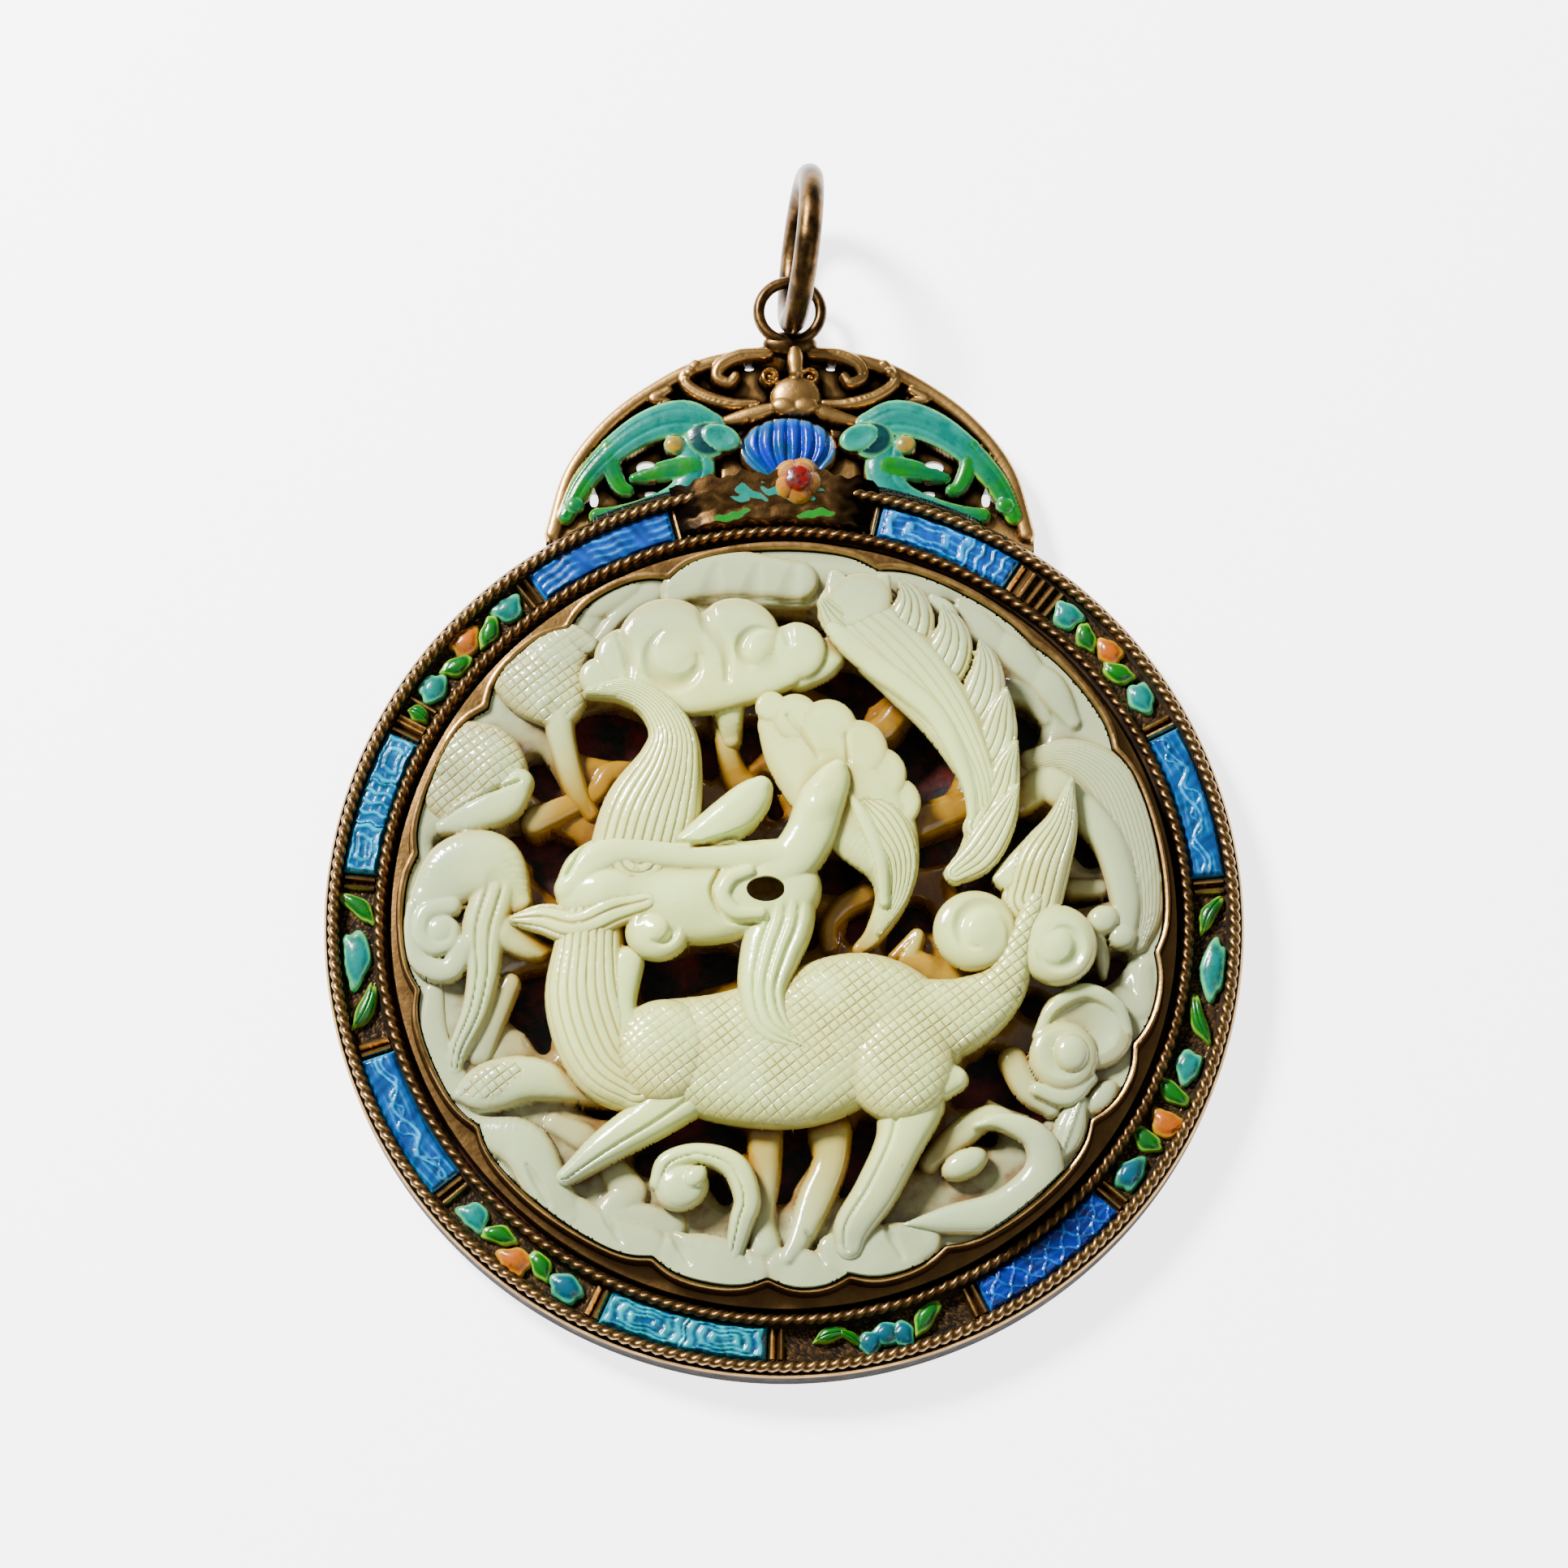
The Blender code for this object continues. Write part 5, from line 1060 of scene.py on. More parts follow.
def sample(field, u, v, low_u, low_v, step):
    """Values of a grid of numbers at places between its points, straight between neighbours."""
    column = np.clip((u - low_u) / step, 0, field.shape[1] - 1.001)
    row = np.clip((v - low_v) / step, 0, field.shape[0] - 1.001)
    left = column.astype(int)
    below = row.astype(int)
    x = column - left
    y = row - below
    lower = field[below, left] * (1 - x) + field[below, left + 1] * x
    upper = field[below + 1, left] * (1 - x) + field[below + 1, left + 1] * x
    return lower * (1 - y) + upper * y


def plaque_surroundings():
    """The carving's mean height near each place and farther round it, which tell hollows from heights."""
    line = np.arange(-HOLLOW_REACH, HOLLOW_REACH, HOLLOW_PITCH)
    u, v = np.meshgrid(line, line)
    whole = np.full(u.size, 2.0)
    for _, _, forms, _ in PLAQUE_LAYERS:
        relief = carve_layer(forms, u, v)
        whole = np.where(relief.edge > 0, np.maximum(whole, relief.level), whole)
    whole = whole.reshape(u.shape)
    return [blurred(blurred(whole, reach), reach) for reach in (3, 10)]


def plaque_marks(places, marks, near_mean, far_mean):
    """What the jade's finish reads at each place: how hollow, deep and far out it is, and its cut lines."""
    u, v, level = places.T
    near, far = (sample(mean, u, v, -HOLLOW_REACH, -HOLLOW_REACH, HOLLOW_PITCH) - level
                 for mean in (near_mean, far_mean))
    hollow = near * 0.5 + far * 0.26
    return {"hollow": np.clip(hollow + 0.1, 0, 1), "far": ramp(np.hypot(u, v), 66, 24),
            "deep": fall(level, 6.9, 3.2), "hatch": marks["hatch"], "stripe": marks["stripe"],
            "stripe_cut": marks["stripe_cut"], "side": marks["rim"]}


def to_plaque(places):
    """From hundredths of the radius and tenths of the depth to metres in the pendant."""
    return places * (PLAQUE_UNIT, PLAQUE_UNIT, PLAQUE_DEPTH / 10) + (0, 0, PLAQUE_BACK)


class PENDANT_OT_jade(bpy.types.Operator):
    """Make the jade carving: a pierced deep layer and, on it, each form in front as a body of its own."""
    bl_idname = "pendant.jade"
    bl_label = "Jade Carving"

    def execute(self, context):
        look = context.scene.pendant_jade
        finish = jade_finish(look)
        means = plaque_surroundings()
        groups = {"jade_ground": [], "jade_foliage": [], "jade_beast": []}
        for name, floor, forms, box in PLAQUE_LAYERS:
            deepest = name == "ground"
            pitch = (look.pitch if deepest else look.front_pitch) / PLAQUE_UNIT
            places, faces, marks = closed_relief(lambda u, v: carve_layer(forms, u, v), box, pitch, floor,
                                                 0.0 if deepest else UNDERCUT)
            group = "jade_ground" if deepest else "jade_foliage"
            group = "jade_beast" if name in BEAST_LAYERS else group
            groups[group].append((to_plaque(places), faces, plaque_marks(places, marks, *means)))
        for name, parts in groups.items():
            make_piece(name, gather(parts), finish,
                       nodes=("jade_plaque",) if name == "jade_ground" else (),
                       most_triangles=JADE_TRIANGLES, sharp_over=60)
        return {'FINISHED'}


class PENDANT_OT_backing(bpy.types.Operator):
    """Give the back plate its finish: tarnish, and painted shade behind the piercings."""
    bl_idname = "pendant.backing"
    bl_label = "Back Plate"

    def execute(self, context):
        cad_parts["back_plate"].material_slots[0].material = backing_finish()
        return {'FINISHED'}


def bar_places():
    """Angles of the little cross bars at the panels' ends, and of the ribs beside the upper right panel."""
    bars = [end + side * gap for first, last in PANEL_SPANS for end, side in ((first, -1), (last, 1))
            for gap in (0.7, 1.9)]
    return bars + [50.2, 51.7, 53.2, 54.7, 148.6, 151.4]


class PENDANT_OT_band(bpy.types.Operator):
    """Make the frame's band: seats for the twisted wires and a punched channel with cross bars."""
    bl_idname = "pendant.band"
    bl_label = "Frame Band"

    def execute(self, context):
        angles = full_circle(BAND_STEPS)
        degrees = np.degrees(angles)[:, None]
        floor_radius = np.linspace(CHANNEL_OUTER - 0.12 * MM, CHANNEL_INNER + 0.12 * MM, FLOOR_COLUMNS)
        grain = np.random.default_rng(7).random((BAND_STEPS, FLOOR_COLUMNS))
        grain = np.clip((grain - 0.6) * 2, -0.2, 0.8)
        bars = np.zeros((BAND_STEPS, 1))
        for place in bar_places():
            off = np.abs((degrees - place + 180) % 360 - 180) * DEGREE_LENGTH
            bars = np.maximum(bars, ridge(off, 0.27))
        floor = FLOOR_HEIGHT + grain * 0.09 * MM * (bars <= 0) + bars * 0.55 * MM
        hollow = np.where(bars > 0, 0.35 - 0.35 * bars, 0.94 - 0.8 * np.clip(grain, 0, 1))
        # Radius, height and hollow of each place of the section, beside the floor and inside it. The hollow
        # darkens the metal as grime and painted shade; the outer wall's values are set high to paint it dark
        # as shade.
        outside = [(FRAME_OUTER, 0.0, 1.0), (FRAME_OUTER, 1.6 * MM, 0.95), (FRAME_OUTER, 3.15 * MM, 0.85),
                   (FRAME_OUTER - 0.05 * MM, 3.45 * MM, 0.0), (FRAME_OUTER - 0.2 * MM, 3.6 * MM, 0.0),
                   (FRAME_OUTER - 0.34 * MM, 3.42 * MM, 0.3), (FRAME_OUTER - 0.4 * MM, SEAT_HEIGHT, 1.0),
                   (CHANNEL_OUTER + 0.05 * MM, SEAT_HEIGHT, 0.9), (CHANNEL_OUTER - 0.05 * MM, 3.24 * MM, 0.9)]
        inside = [(CHANNEL_INNER + 0.05 * MM, 3.24 * MM, 0.9), (CHANNEL_INNER - 0.05 * MM, SEAT_HEIGHT, 0.9),
                  (FRAME_INNER + 0.2 * MM, SEAT_HEIGHT, 0.9), (FRAME_INNER, SEAT_HEIGHT - 0.1 * MM, 0.8),
                  (FRAME_INNER, PLAQUE_BACK, 0.6), (FRAME_OUTER - 0.8 * MM, PLAQUE_BACK, 0.4),
                  (FRAME_OUTER - 0.8 * MM, 0.0, 0.4)]
        punched = [(radius, floor[:, [k]], hollow[:, [k]]) for k, radius in enumerate(floor_radius)]
        columns = lathe_columns(outside + punched + inside, BAND_STEPS)
        make_piece("frame_band", lathe_ring(angles, columns),
                   metal_finish(context.scene.pendant_metal, "gilt_silver"), ("frame",))
        return {'FINISHED'}


class PENDANT_OT_ropes(bpy.types.Operator):
    """Make the two twisted wires: a section of two round strands that turns as it goes round the frame."""
    bl_idname = "pendant.ropes"
    bl_label = "Twisted Wires"

    def execute(self, context):
        look = context.scene.pendant_metal
        for node, high, turns, dark in (("outer_rope", OUTER_ROPE_HIGH, 124, 0.0),
                                        ("inner_rope", INNER_ROPE_HIGH, 106, 0.35)):
            finish = metal_finish(look, node + "_gold", dark)
            middle = high.x - ROPE_WIRE / 2
            angles = full_circle(turns * STRAND_STEPS)
            around = full_circle(STRAND_STEPS)
            phase = around[None, :] - turns * angles[:, None]
            strand = np.abs(np.cos(phase)) ** 0.75
            reach = ROPE_WIRE / 2 * (0.42 + 0.46 * strand)
            radius = middle + reach * np.cos(around)
            height = high.z - ROPE_WIRE / 2 + reach * np.sin(around)
            # Grime and painted shade in the grooves between the strands, where the hollow is high.
            make_piece(node + "_twist", wound_ring(angles, radius, height, {"hollow": 1.05 - strand}), finish,
                       (node,), sharp_over=180)
        return {'FINISHED'}


class PENDANT_OT_bezel(bpy.types.Operator):
    """Make the scalloped strip that holds the jade: its inner face follows the lobed edge."""
    bl_idname = "pendant.bezel"
    bl_label = "Bezel"

    def execute(self, context):
        angles = full_circle(BEZEL_STEPS)
        inner = (PLAQUE_UNIT * lobed_edge(angles) + 0.4 * FIT)[:, None]
        wall = (0.58 + 0.2 * np.sin(angles) + 0.07 * np.sin(13 * angles))[:, None] * MM
        # Radius, height and hollow of each place of the section. The hollow darkens the metal as grime and
        # painted shade, most at the foot and down the inner face beside the jade.
        section = [(inner, PLAQUE_BACK, 0.9), (BEZEL_OUTER, PLAQUE_BACK, 0.6), (BEZEL_OUTER, 3.75 * MM, 0.4),
                   (BEZEL_OUTER - 0.1 * MM, 3.9 * MM, 0.3), (inner + wall + 0.12 * MM, 3.95 * MM, 0.4),
                   (inner + wall, 4.15 * MM, 0.6), (inner + wall * 0.86, 5.4 * MM, 0.35),
                   (inner + wall * 0.72, 5.8 * MM, 0.0), (inner + wall * 0.45, 5.9 * MM, 0.0),
                   (inner + wall * 0.16, 5.84 * MM, 0.0), (inner, 5.6 * MM, 0.3), (inner, 4.4 * MM, 0.9)]
        section = [(np.minimum(radius, BEZEL_OUTER), height, hollow) for radius, height, hollow in section]
        make_piece("bezel_strip", lathe_ring(angles, lathe_columns(section, BEZEL_STEPS)),
                   metal_finish(context.scene.pendant_metal, "bezel_gold"), ("bezel",))
        return {'FINISHED'}


def ridge(distance, half_width):
    """A rounded line: 1 on it, falling to 0 at its half width."""
    return np.sqrt(np.clip(1 - (distance / half_width) ** 2, 0, 1))


def nested_frames(a, b, centre, half_a, half_b, count):
    """Frames within frames about a centre, evenly spaced down to a bar."""
    share = np.maximum(np.abs(a - centre) / half_a, np.abs(b) / half_b)
    lines = [ridge((share - (k + 1) / count) * half_b, 0.12) for k in range(count)]
    return np.max(lines, axis=0)


def fret_lines(a, b, length):
    ends = [nested_frames(a, b, side * (length - 2.1), 1.8, 1.05, 2) for side in (-1, 1)]
    ribs = ridge((a + 0.45) % 0.9 - 0.45, 0.16) * (np.abs(a) < length - 4.2)
    return np.maximum(np.maximum(*ends), ribs)


def square_fret_lines(a, b, length):
    squares = [nested_frames(a, b, side * length * 0.5, length * 0.42, 1.05, 3) for side in (-1, 1)]
    return np.maximum(np.maximum(*squares), ridge(a, 0.14))


def net_lines(a, b, length):
    one = ridge((a + b * 0.9) % 1.7 - 0.85, 0.13)
    other = ridge((a - b * 0.9 + 0.6) % 1.7 - 0.85, 0.13)
    return np.maximum(one, other)


def vine_lines(a, b, length):
    stem = ridge(b - 0.45 * np.sin(a * 1.5), 0.14)
    shoots = ridge(b - 0.85 * np.sin(a * 1.5 + 2.2) * np.cos(a * 0.9), 0.11)
    return np.maximum(stem, shoots * 0.8)


def streak_lines(a, b, length):
    return np.clip(np.sin(b * 9 + 1.6 * np.sin(a * 0.8)) * np.sin(a * 0.6 + 1) - 0.2, 0, 1)


def ladder_lines(a, b, length):
    box = nested_frames(a, b, -length * 0.3, length * 0.55, 1.05, 2)
    return np.maximum(box, ridge((a + 0.5) % 1.0 - 0.5, 0.15) * (a > length * 0.3))


# Each enamel panel: its pattern, its ground colour, its line colour
PANELS = (
    (vine_lines, paint(0, 62, 112), paint(0, 136, 190)),
    (ladder_lines, paint(0, 56, 124), paint(0, 138, 204)),
    (streak_lines, paint(0, 48, 118), paint(0, 134, 200)),
    (fret_lines, paint(0, 72, 116), paint(0, 150, 184)),
    (vine_lines, paint(0, 58, 114), paint(20, 146, 196)),
    (square_fret_lines, paint(0, 74, 100), paint(0, 146, 156)),
    (net_lines, paint(0, 26, 118), paint(0, 92, 180)),
)


class PENDANT_OT_panels(bpy.types.Operator):
    """Make the blue enamel panels: cushions in the channel, with their lines raised."""
    bl_idname = "pendant.panels"
    bl_label = "Enamel Panels"

    def execute(self, context):
        middle = (CHANNEL_INNER + CHANNEL_OUTER) / 2
        half = (CHANNEL_OUTER - CHANNEL_INNER) / 2 + 0.08 * MM
        across = np.linspace(-1, 1, PANEL_ROWS)[:, None]
        parts = []
        for (first, last), (lines, ground, light) in zip(PANEL_SPANS, PANELS):
            angle = np.radians(np.linspace(last, first, PANEL_STEPS))[None, :]
            length = np.radians(last - first) / 2 * middle / MM
            a = np.linspace(-1, 1, PANEL_STEPS)[None, :] * length + 0 * across
            b = across * half / MM + 0 * a
            pattern = lines(a + 0.12 * np.sin(4 * b + a), b + 0.1 * np.sin(2.7 * a), length)
            pattern = np.maximum(pattern, 0.5 * streak_lines(a, b, length))
            edge = np.maximum(np.abs(across), 1 - (length - np.abs(a)) / (half / MM))
            rise = 0.9 * MM * (1 - ramp(edge, 0.72, 0.28) ** 2 * 0.75)
            rise = rise - 0.16 * MM * (1 - pattern) * (edge < 0.93)
            radius = middle + across * half
            top = np.stack([radius * np.cos(angle), radius * np.sin(angle), FLOOR_HEIGHT + rise], axis=-1)
            shade = 1 + 0.4 * np.sin(1.9 * a + 1.3) * np.sin(2.1 * b + a) + 0.2 * np.sin(7 * a + 3 * b)
            tint = (np.asarray(ground) + (np.asarray(light) - ground) * pattern[..., None]) * shade[..., None]
            tint = blend(tint, light, ramp(edge, 0.86, 0.1) * 0.55)
            parts.append(slab(top, ENAMEL_FOOT, {"tint": tint}))
        make_piece("enamel_panels", gather(parts), enamel_finish(context.scene.pendant_metal, "blue_enamel"),
                   sharp_over=70)
        return {'FINISHED'}


TURQUOISE = (paint(0, 104, 98), paint(70, 170, 110))
GREEN = (paint(0, 84, 6), paint(120, 164, 40))
ORANGE = (paint(156, 76, 0), paint(180, 124, 0))
TEAL = (paint(0, 70, 88), paint(50, 160, 110))

BUD_SCALE = 1.4

# Enamel leaves and blossoms in the channel: angle in degrees, radius in mm, half length, half width, turn and
# paints
BUDS = (
    (130.9, 35.3, 1.0, 0.8, 0, TURQUOISE), (134.9, 34.9, 1.1, 0.6, 30, GREEN),
    (138.2, 35.7, 1.05, 0.8, 0, ORANGE), (141.5, 34.9, 1.1, 0.6, -20, GREEN),
    (145.9, 35.3, 1.0, 0.8, 0, TURQUOISE), (178.2, 35.1, 1.4, 0.55, 50, GREEN),
    (185.2, 35.3, 1.7, 0.85, 0, TURQUOISE), (192.2, 35.1, 1.6, 0.5, -35, GREEN),
    (224.5, 35.3, 1.0, 0.8, 0, TURQUOISE), (228.6, 35.0, 1.1, 0.6, 25, GREEN),
    (232.4, 35.8, 1.05, 0.8, 0, ORANGE), (235.6, 34.9, 1.0, 0.6, -25, GREEN),
    (240.0, 35.3, 1.1, 0.8, 0, TEAL), (276.2, 34.6, 1.1, 0.45, 10, GREEN),
    (278.8, 35.0, 0.9, 0.3, -40, GREEN), (289.2, 34.9, 1.2, 0.6, 35, GREEN),
    (281.3, 35.8, 0.8, 0.72, 60, TEAL), (283.5, 35.3, 0.8, 0.75, 0, TEAL),
    (285.7, 35.7, 0.8, 0.72, -60, TEAL), (323.1, 35.3, 1.1, 0.8, 0, TEAL),
    (328.0, 34.9, 1.1, 0.62, 85, GREEN), (331.3, 35.7, 1.05, 0.85, 90, ORANGE),
    (335.4, 35.0, 1.2, 0.6, 70, GREEN), (339.6, 35.3, 1.0, 0.8, 0, TURQUOISE),
    (346.0, 35.1, 1.6, 0.5, 30, GREEN), (353.3, 35.5, 1.9, 0.72, 0, TURQUOISE),
    (0.9, 35.1, 1.3, 0.5, -30, GREEN), (32.5, 35.3, 1.0, 0.8, 0, TURQUOISE),
    (37.1, 35.0, 1.1, 0.6, 30, GREEN), (40.2, 35.6, 0.9, 0.75, 0, ORANGE),
    (43.8, 35.0, 1.0, 0.6, -30, GREEN), (47.8, 35.3, 1.0, 0.8, 0, TURQUOISE),
    (149.9, 35.2, 0.75, 0.5, 90, GREEN),
)


class PENDANT_OT_buds(bpy.types.Operator):
    """Make the small enamel leaves and blossoms: squares of points bent into domed discs."""
    bl_idname = "pendant.buds"
    bl_label = "Enamel Buds"

    def execute(self, context):
        x, y = unit_disc(15)
        share = np.hypot(x, y)
        way = np.arctan2(y, x)
        parts = []
        for degrees, radius, half_long, half_wide, turn, (ground, edge_paint) in BUDS:
            wobble = 0.07 * np.cos(5 * way + degrees) + 0.05 * np.sin(2 * way + 3 * degrees)
            trefoil = 0.1 * np.cos(3 * way + degrees) if half_wide > 0.7 else 0
            lobes = BUD_SCALE * (1 + (wobble + trefoil) * share)
            pointed = 1 - (0.3 * x**2 if half_wide < 0.7 else 0)
            along = x * half_long * lobes * MM
            over = (y * half_wide * pointed + 0.18 * half_long * x**2) * lobes * MM
            place = math.radians(degrees)
            lean = math.radians(degrees - 90 + turn)
            place_u = radius * MM * math.cos(place) + along * math.cos(lean) - over * math.sin(lean)
            place_v = radius * MM * math.sin(place) + along * math.sin(lean) + over * math.cos(lean)
            height = FLOOR_HEIGHT + (0.25 + 0.65 * np.sqrt(np.clip(1 - share**2, 0, 1))) * MM
            height = height - 0.12 * MM * (ridge(share - 0.68, 0.1) if half_wide > 0.5 else ridge(y, 0.12))
            tint = blend(ground, edge_paint, ramp(share, 0.72, 0.15))
            parts.append(slab(np.stack([place_u, place_v, height], axis=-1), ENAMEL_FOOT, {"tint": tint}))
        finish = enamel_finish(context.scene.pendant_metal, "green_enamel", paint(20, 60, 30))
        make_piece("enamel_buds", gather(parts), finish, sharp_over=75)
        return {'FINISHED'}


# Paints of the crest, and the number by which a form carries each
BARE, SEA, LEAF, COBALT, YELLOW, AMBER, DARK_SEA, RED = range(8)
CREST_PAINTS = np.array([paint(84, 60, 32), paint(0, 112, 98), paint(0, 98, 14), paint(0, 34, 146),
                         paint(156, 118, 0), paint(156, 78, 0), paint(0, 30, 38), paint(100, 0, 0)])
SEED_PAINT = paint(30, 14, 12)

# The crest's sunk grounds and its holes, on both sides: middle and half widths in u and v
CREST_SINKS = ((62, 33.5, 27, 19), (22, 68, 24, 13))
CREST_HOLES = ((59, 36, 4.2, 2.8), (57, 24.5, 3, 1.2), (80.5, 22, 1.7, 3.4), (17, 79, 2.2, 0.9))
CREST_BOX = (-102, 102, -3, 91)
CREST_MEAN_PITCH = 0.8
WING_DROP = 4.5


class Half:
    """One side of a carved surface, 1 or -1: what is laid at u lies at u times the side."""

    def __init__(self, relief, side):
        self.relief = relief
        self.side = side

    def band(self, rows, crown, **options):
        self.relief.band([(self.side * u, *rest) for u, *rest in rows], crown, **options)

    def dome(self, u, v, half_u, half_v, level, crown, turn=0, **options):
        self.relief.dome(self.side * u, v, half_u, half_v, level, crown, self.side * turn, **options)


def carve_wing(half):
    half.band([(33, 56, 7, 8), (44, 59.5, 8.4, 8.6), (58, 56, 7.6, 8.4), (72, 46.5, 6.2, 8),
               (84, 33, 5.2, 7.6), (92, 18, 4, 7)], 2.8, paint=SEA, grooves=(-0.4, 0.3))
    half.band([(40, 47, 8, 8), (38.5, 36, 8, 8.2), (45, 26, 7, 8), (58, 20.5, 5.8, 7.8), (70, 18, 4.8, 7.4),
               (79, 18, 3.6, 7.2)], 2.8, paint=SEA, grooves=(0.3,))
    half.band([(74, 47, 4.4, 7.8), (73, 38, 4, 7.6), (69.5, 30.5, 3.4, 7.4), (66, 29, 2.4, 7.2)], 2.0,
              paint=LEAF)
    half.band([(40, 38.5, 5.6, 8.4), (52, 37, 4.4, 8.0), (64, 34, 2.2, 7.2)], 2.0, paint=LEAF)
    half.dome(34, 50, 9.6, 8.6, 8.9, 2.0, 20, paint=DARK_SEA)
    half.dome(28.5, 50.5, 9, 6, 9.8, 2.2, 20, dish=0.9, paint=SEA)
    half.dome(47.5, 47.7, 4.6, 4.2, 9.2, 2.2, paint=YELLOW)
    half.dome(88, 22, 4, 3.6, 8, 1.8, paint=LEAF)


def carve_feelers(half):
    """The curls of bare metal over a wing, and an eye."""
    half.band([(9, 84, 2.6, 6.6), (20, 83, 3.2, 7), (28, 79, 3, 7.2), (30, 73.5, 2.8, 7.2),
               (25, 71, 2.4, 7.2), (22.5, 74, 2.2, 7)], 2.2, grooves=(0.2,))
    half.band([(39, 79, 2.4, 6.8), (43.5, 72, 2.8, 6.8), (36, 65.5, 3, 7), (24, 62, 2.6, 7),
               (14, 62, 2, 6.8)], 2.2, grooves=(-0.2,))
    half.dome(41.5, 75, 2.4, 2.4, 7.6, 1.6)
    half.band([(50, 68, 2, 6.4), (56, 64, 2.4, 6.6), (50, 63, 1.6, 6.4)], 1.8)
    half.dome(8.2, 73.2, 4, 4, 8.4, 1.8, dish=3.4)
    half.dome(8.2, 73.2, 1.3, 1.3, 7.2, 1.2)


def carve_crest(u, v):
    """The enamelled bat under an arch whose base line is at v = 0, with a lobed collar at its foot."""
    relief = Relief(u, v)
    u = relief.u
    v = relief.v
    arch = 1 - ((np.abs(u) / 100) ** 1.9 + (np.maximum(v, 0) / 88) ** 1.9) ** (1 / 1.9)
    circle = np.hypot(u * CREST_UNIT + CREST_PLACE[0], v * CREST_UNIT + CREST_PLACE[1]) / CREST_UNIT
    outside_frame = circle - (FRAME_OUTER + FIT) / CREST_UNIT
    relief.lay(np.arange(u.size), np.full(u.size, 4.0), np.minimum(arch * 80, outside_frame))
    for side in (-1, 1):
        sunk = [np.clip(1.3 - np.hypot((side * u - u_sink) / half_u, (v - v_sink) / half_v), 0, 0.35) / 0.35
                for u_sink, v_sink, half_u, half_v in CREST_SINKS]
        relief.level -= 2.2 * np.maximum(*sunk) * (relief.level > 0)
    for half in (Half(relief, -1), Half(relief, 1)):
        half.band([(97, 6, 3.4, 6.4), (90, 32, 3, 6.4), (76, 52, 3, 6.4), (58, 67, 3, 6.4), (36, 79, 3, 6.4),
                   (8, 85.5, 2.6, 6.2)], 2.0)
        relief.v = v + WING_DROP
        carve_wing(half)
        relief.v = v
        carve_feelers(half)
    relief.band([(2, 88, 1.8, 7.6), (2.2, 81, 3.6, 8.8), (2.4, 75, 3, 8.8)], 2.4)
    relief.dome(2.4, 64.5, 10.5, 9, 9.2, 3.0)
    relief.dome(-2, 60, 5.6, 4, 9.4, 1.6)
    relief.dome(6, 60, 5.6, 4, 9.4, 1.6)
    for side in (-1, 1):
        relief.band([(2 + side * 8, 60, 2.6, 7.6), (side * 16, 57, 3.4, 7.6), (side * 27, 54, 2.4, 7)],
                    1.8)
    relief.dome(-0.7, 41.5, 20.5, 14, 9.6, 3.6, paint=COBALT)
    for spoke in range(-3, 4):
        relief.score([(spoke * 2.4, 29, 1.4), (spoke * 5.6 - 1, 41, 1.8), (spoke * 5.4 - 1, 53.5, 1.5)], 1.5)
    relief.band([(-36, 9, 6, 5), (-14, 15, 6, 5.2), (2, 16, 6, 5.4), (18, 15, 6, 5.2), (38, 9, 6, 5)], 1.4)
    for u_hole, v_hole, half_u, half_v in CREST_HOLES:
        away = np.hypot((np.abs(u) - u_hole) / half_u, (v - v_hole) / half_v)
        relief.cut((away - 1) * min(half_u, half_v))
    relief.cut(outside_frame)
    return relief


def crest_tint(u, v, number, rim):
    """Each place's paint: greener toward the wing's tip, darker at a form's heart and paler at its side."""
    toward_tip = ramp(np.abs(u) - 52 - 0.6 * (v - 20), 0, 30) * (number == SEA)
    tint = blend(CREST_PAINTS[number], CREST_PAINTS[LEAF], toward_tip)
    pale = ramp(rim, 0.7, 0.2) * np.where(number == COBALT, 0.2, 0.8)
    edge_paint = np.where(toward_tip[:, None] > 0.3, paint(120, 180, 40), paint(80, 180, 110))
    tint = blend(tint, tint * 0.3, np.clip(1 - rim / 0.5, 0, 1) * (number > BARE) * 0.45)
    return tint * (1 - pale[:, None]) + edge_paint * (pale * (number > BARE))[:, None]


def crest_body():
    """The crest's closed body in metres, with its tints, its enamel mark and its hollows."""
    places, faces, marks = closed_relief(carve_crest, CREST_BOX, CREST_PITCH, 0.0)
    u, v, level = places.T
    u_low, u_high, v_low, v_high = np.add(CREST_BOX, (-1, 1, -1, 1))
    grid_u, grid_v = np.meshgrid(np.arange(u_low, u_high, CREST_MEAN_PITCH),
                                 np.arange(v_low, v_high, CREST_MEAN_PITCH))
    relief = carve_crest(grid_u, grid_v)
    mean = blurred(np.where(relief.edge > 0, relief.level, 2.0).reshape(grid_u.shape), 4)
    hollow = np.clip((sample(mean, u, v, u_low, v_low, CREST_MEAN_PITCH) - level) * 0.4 + 0.25, 0, 1)
    number = np.rint(marks["paint"]).astype(int)
    tint = crest_tint(u, v, number, marks["rim"])
    enamel = (number > BARE) * fall(marks["rim"], 0.97, 0.08)
    placed = places * (CREST_UNIT, CREST_UNIT, CREST_LEVEL_UNIT) + CREST_PLACE
    return placed, faces, {"tint": tint, "enamel": enamel, "hollow": hollow}


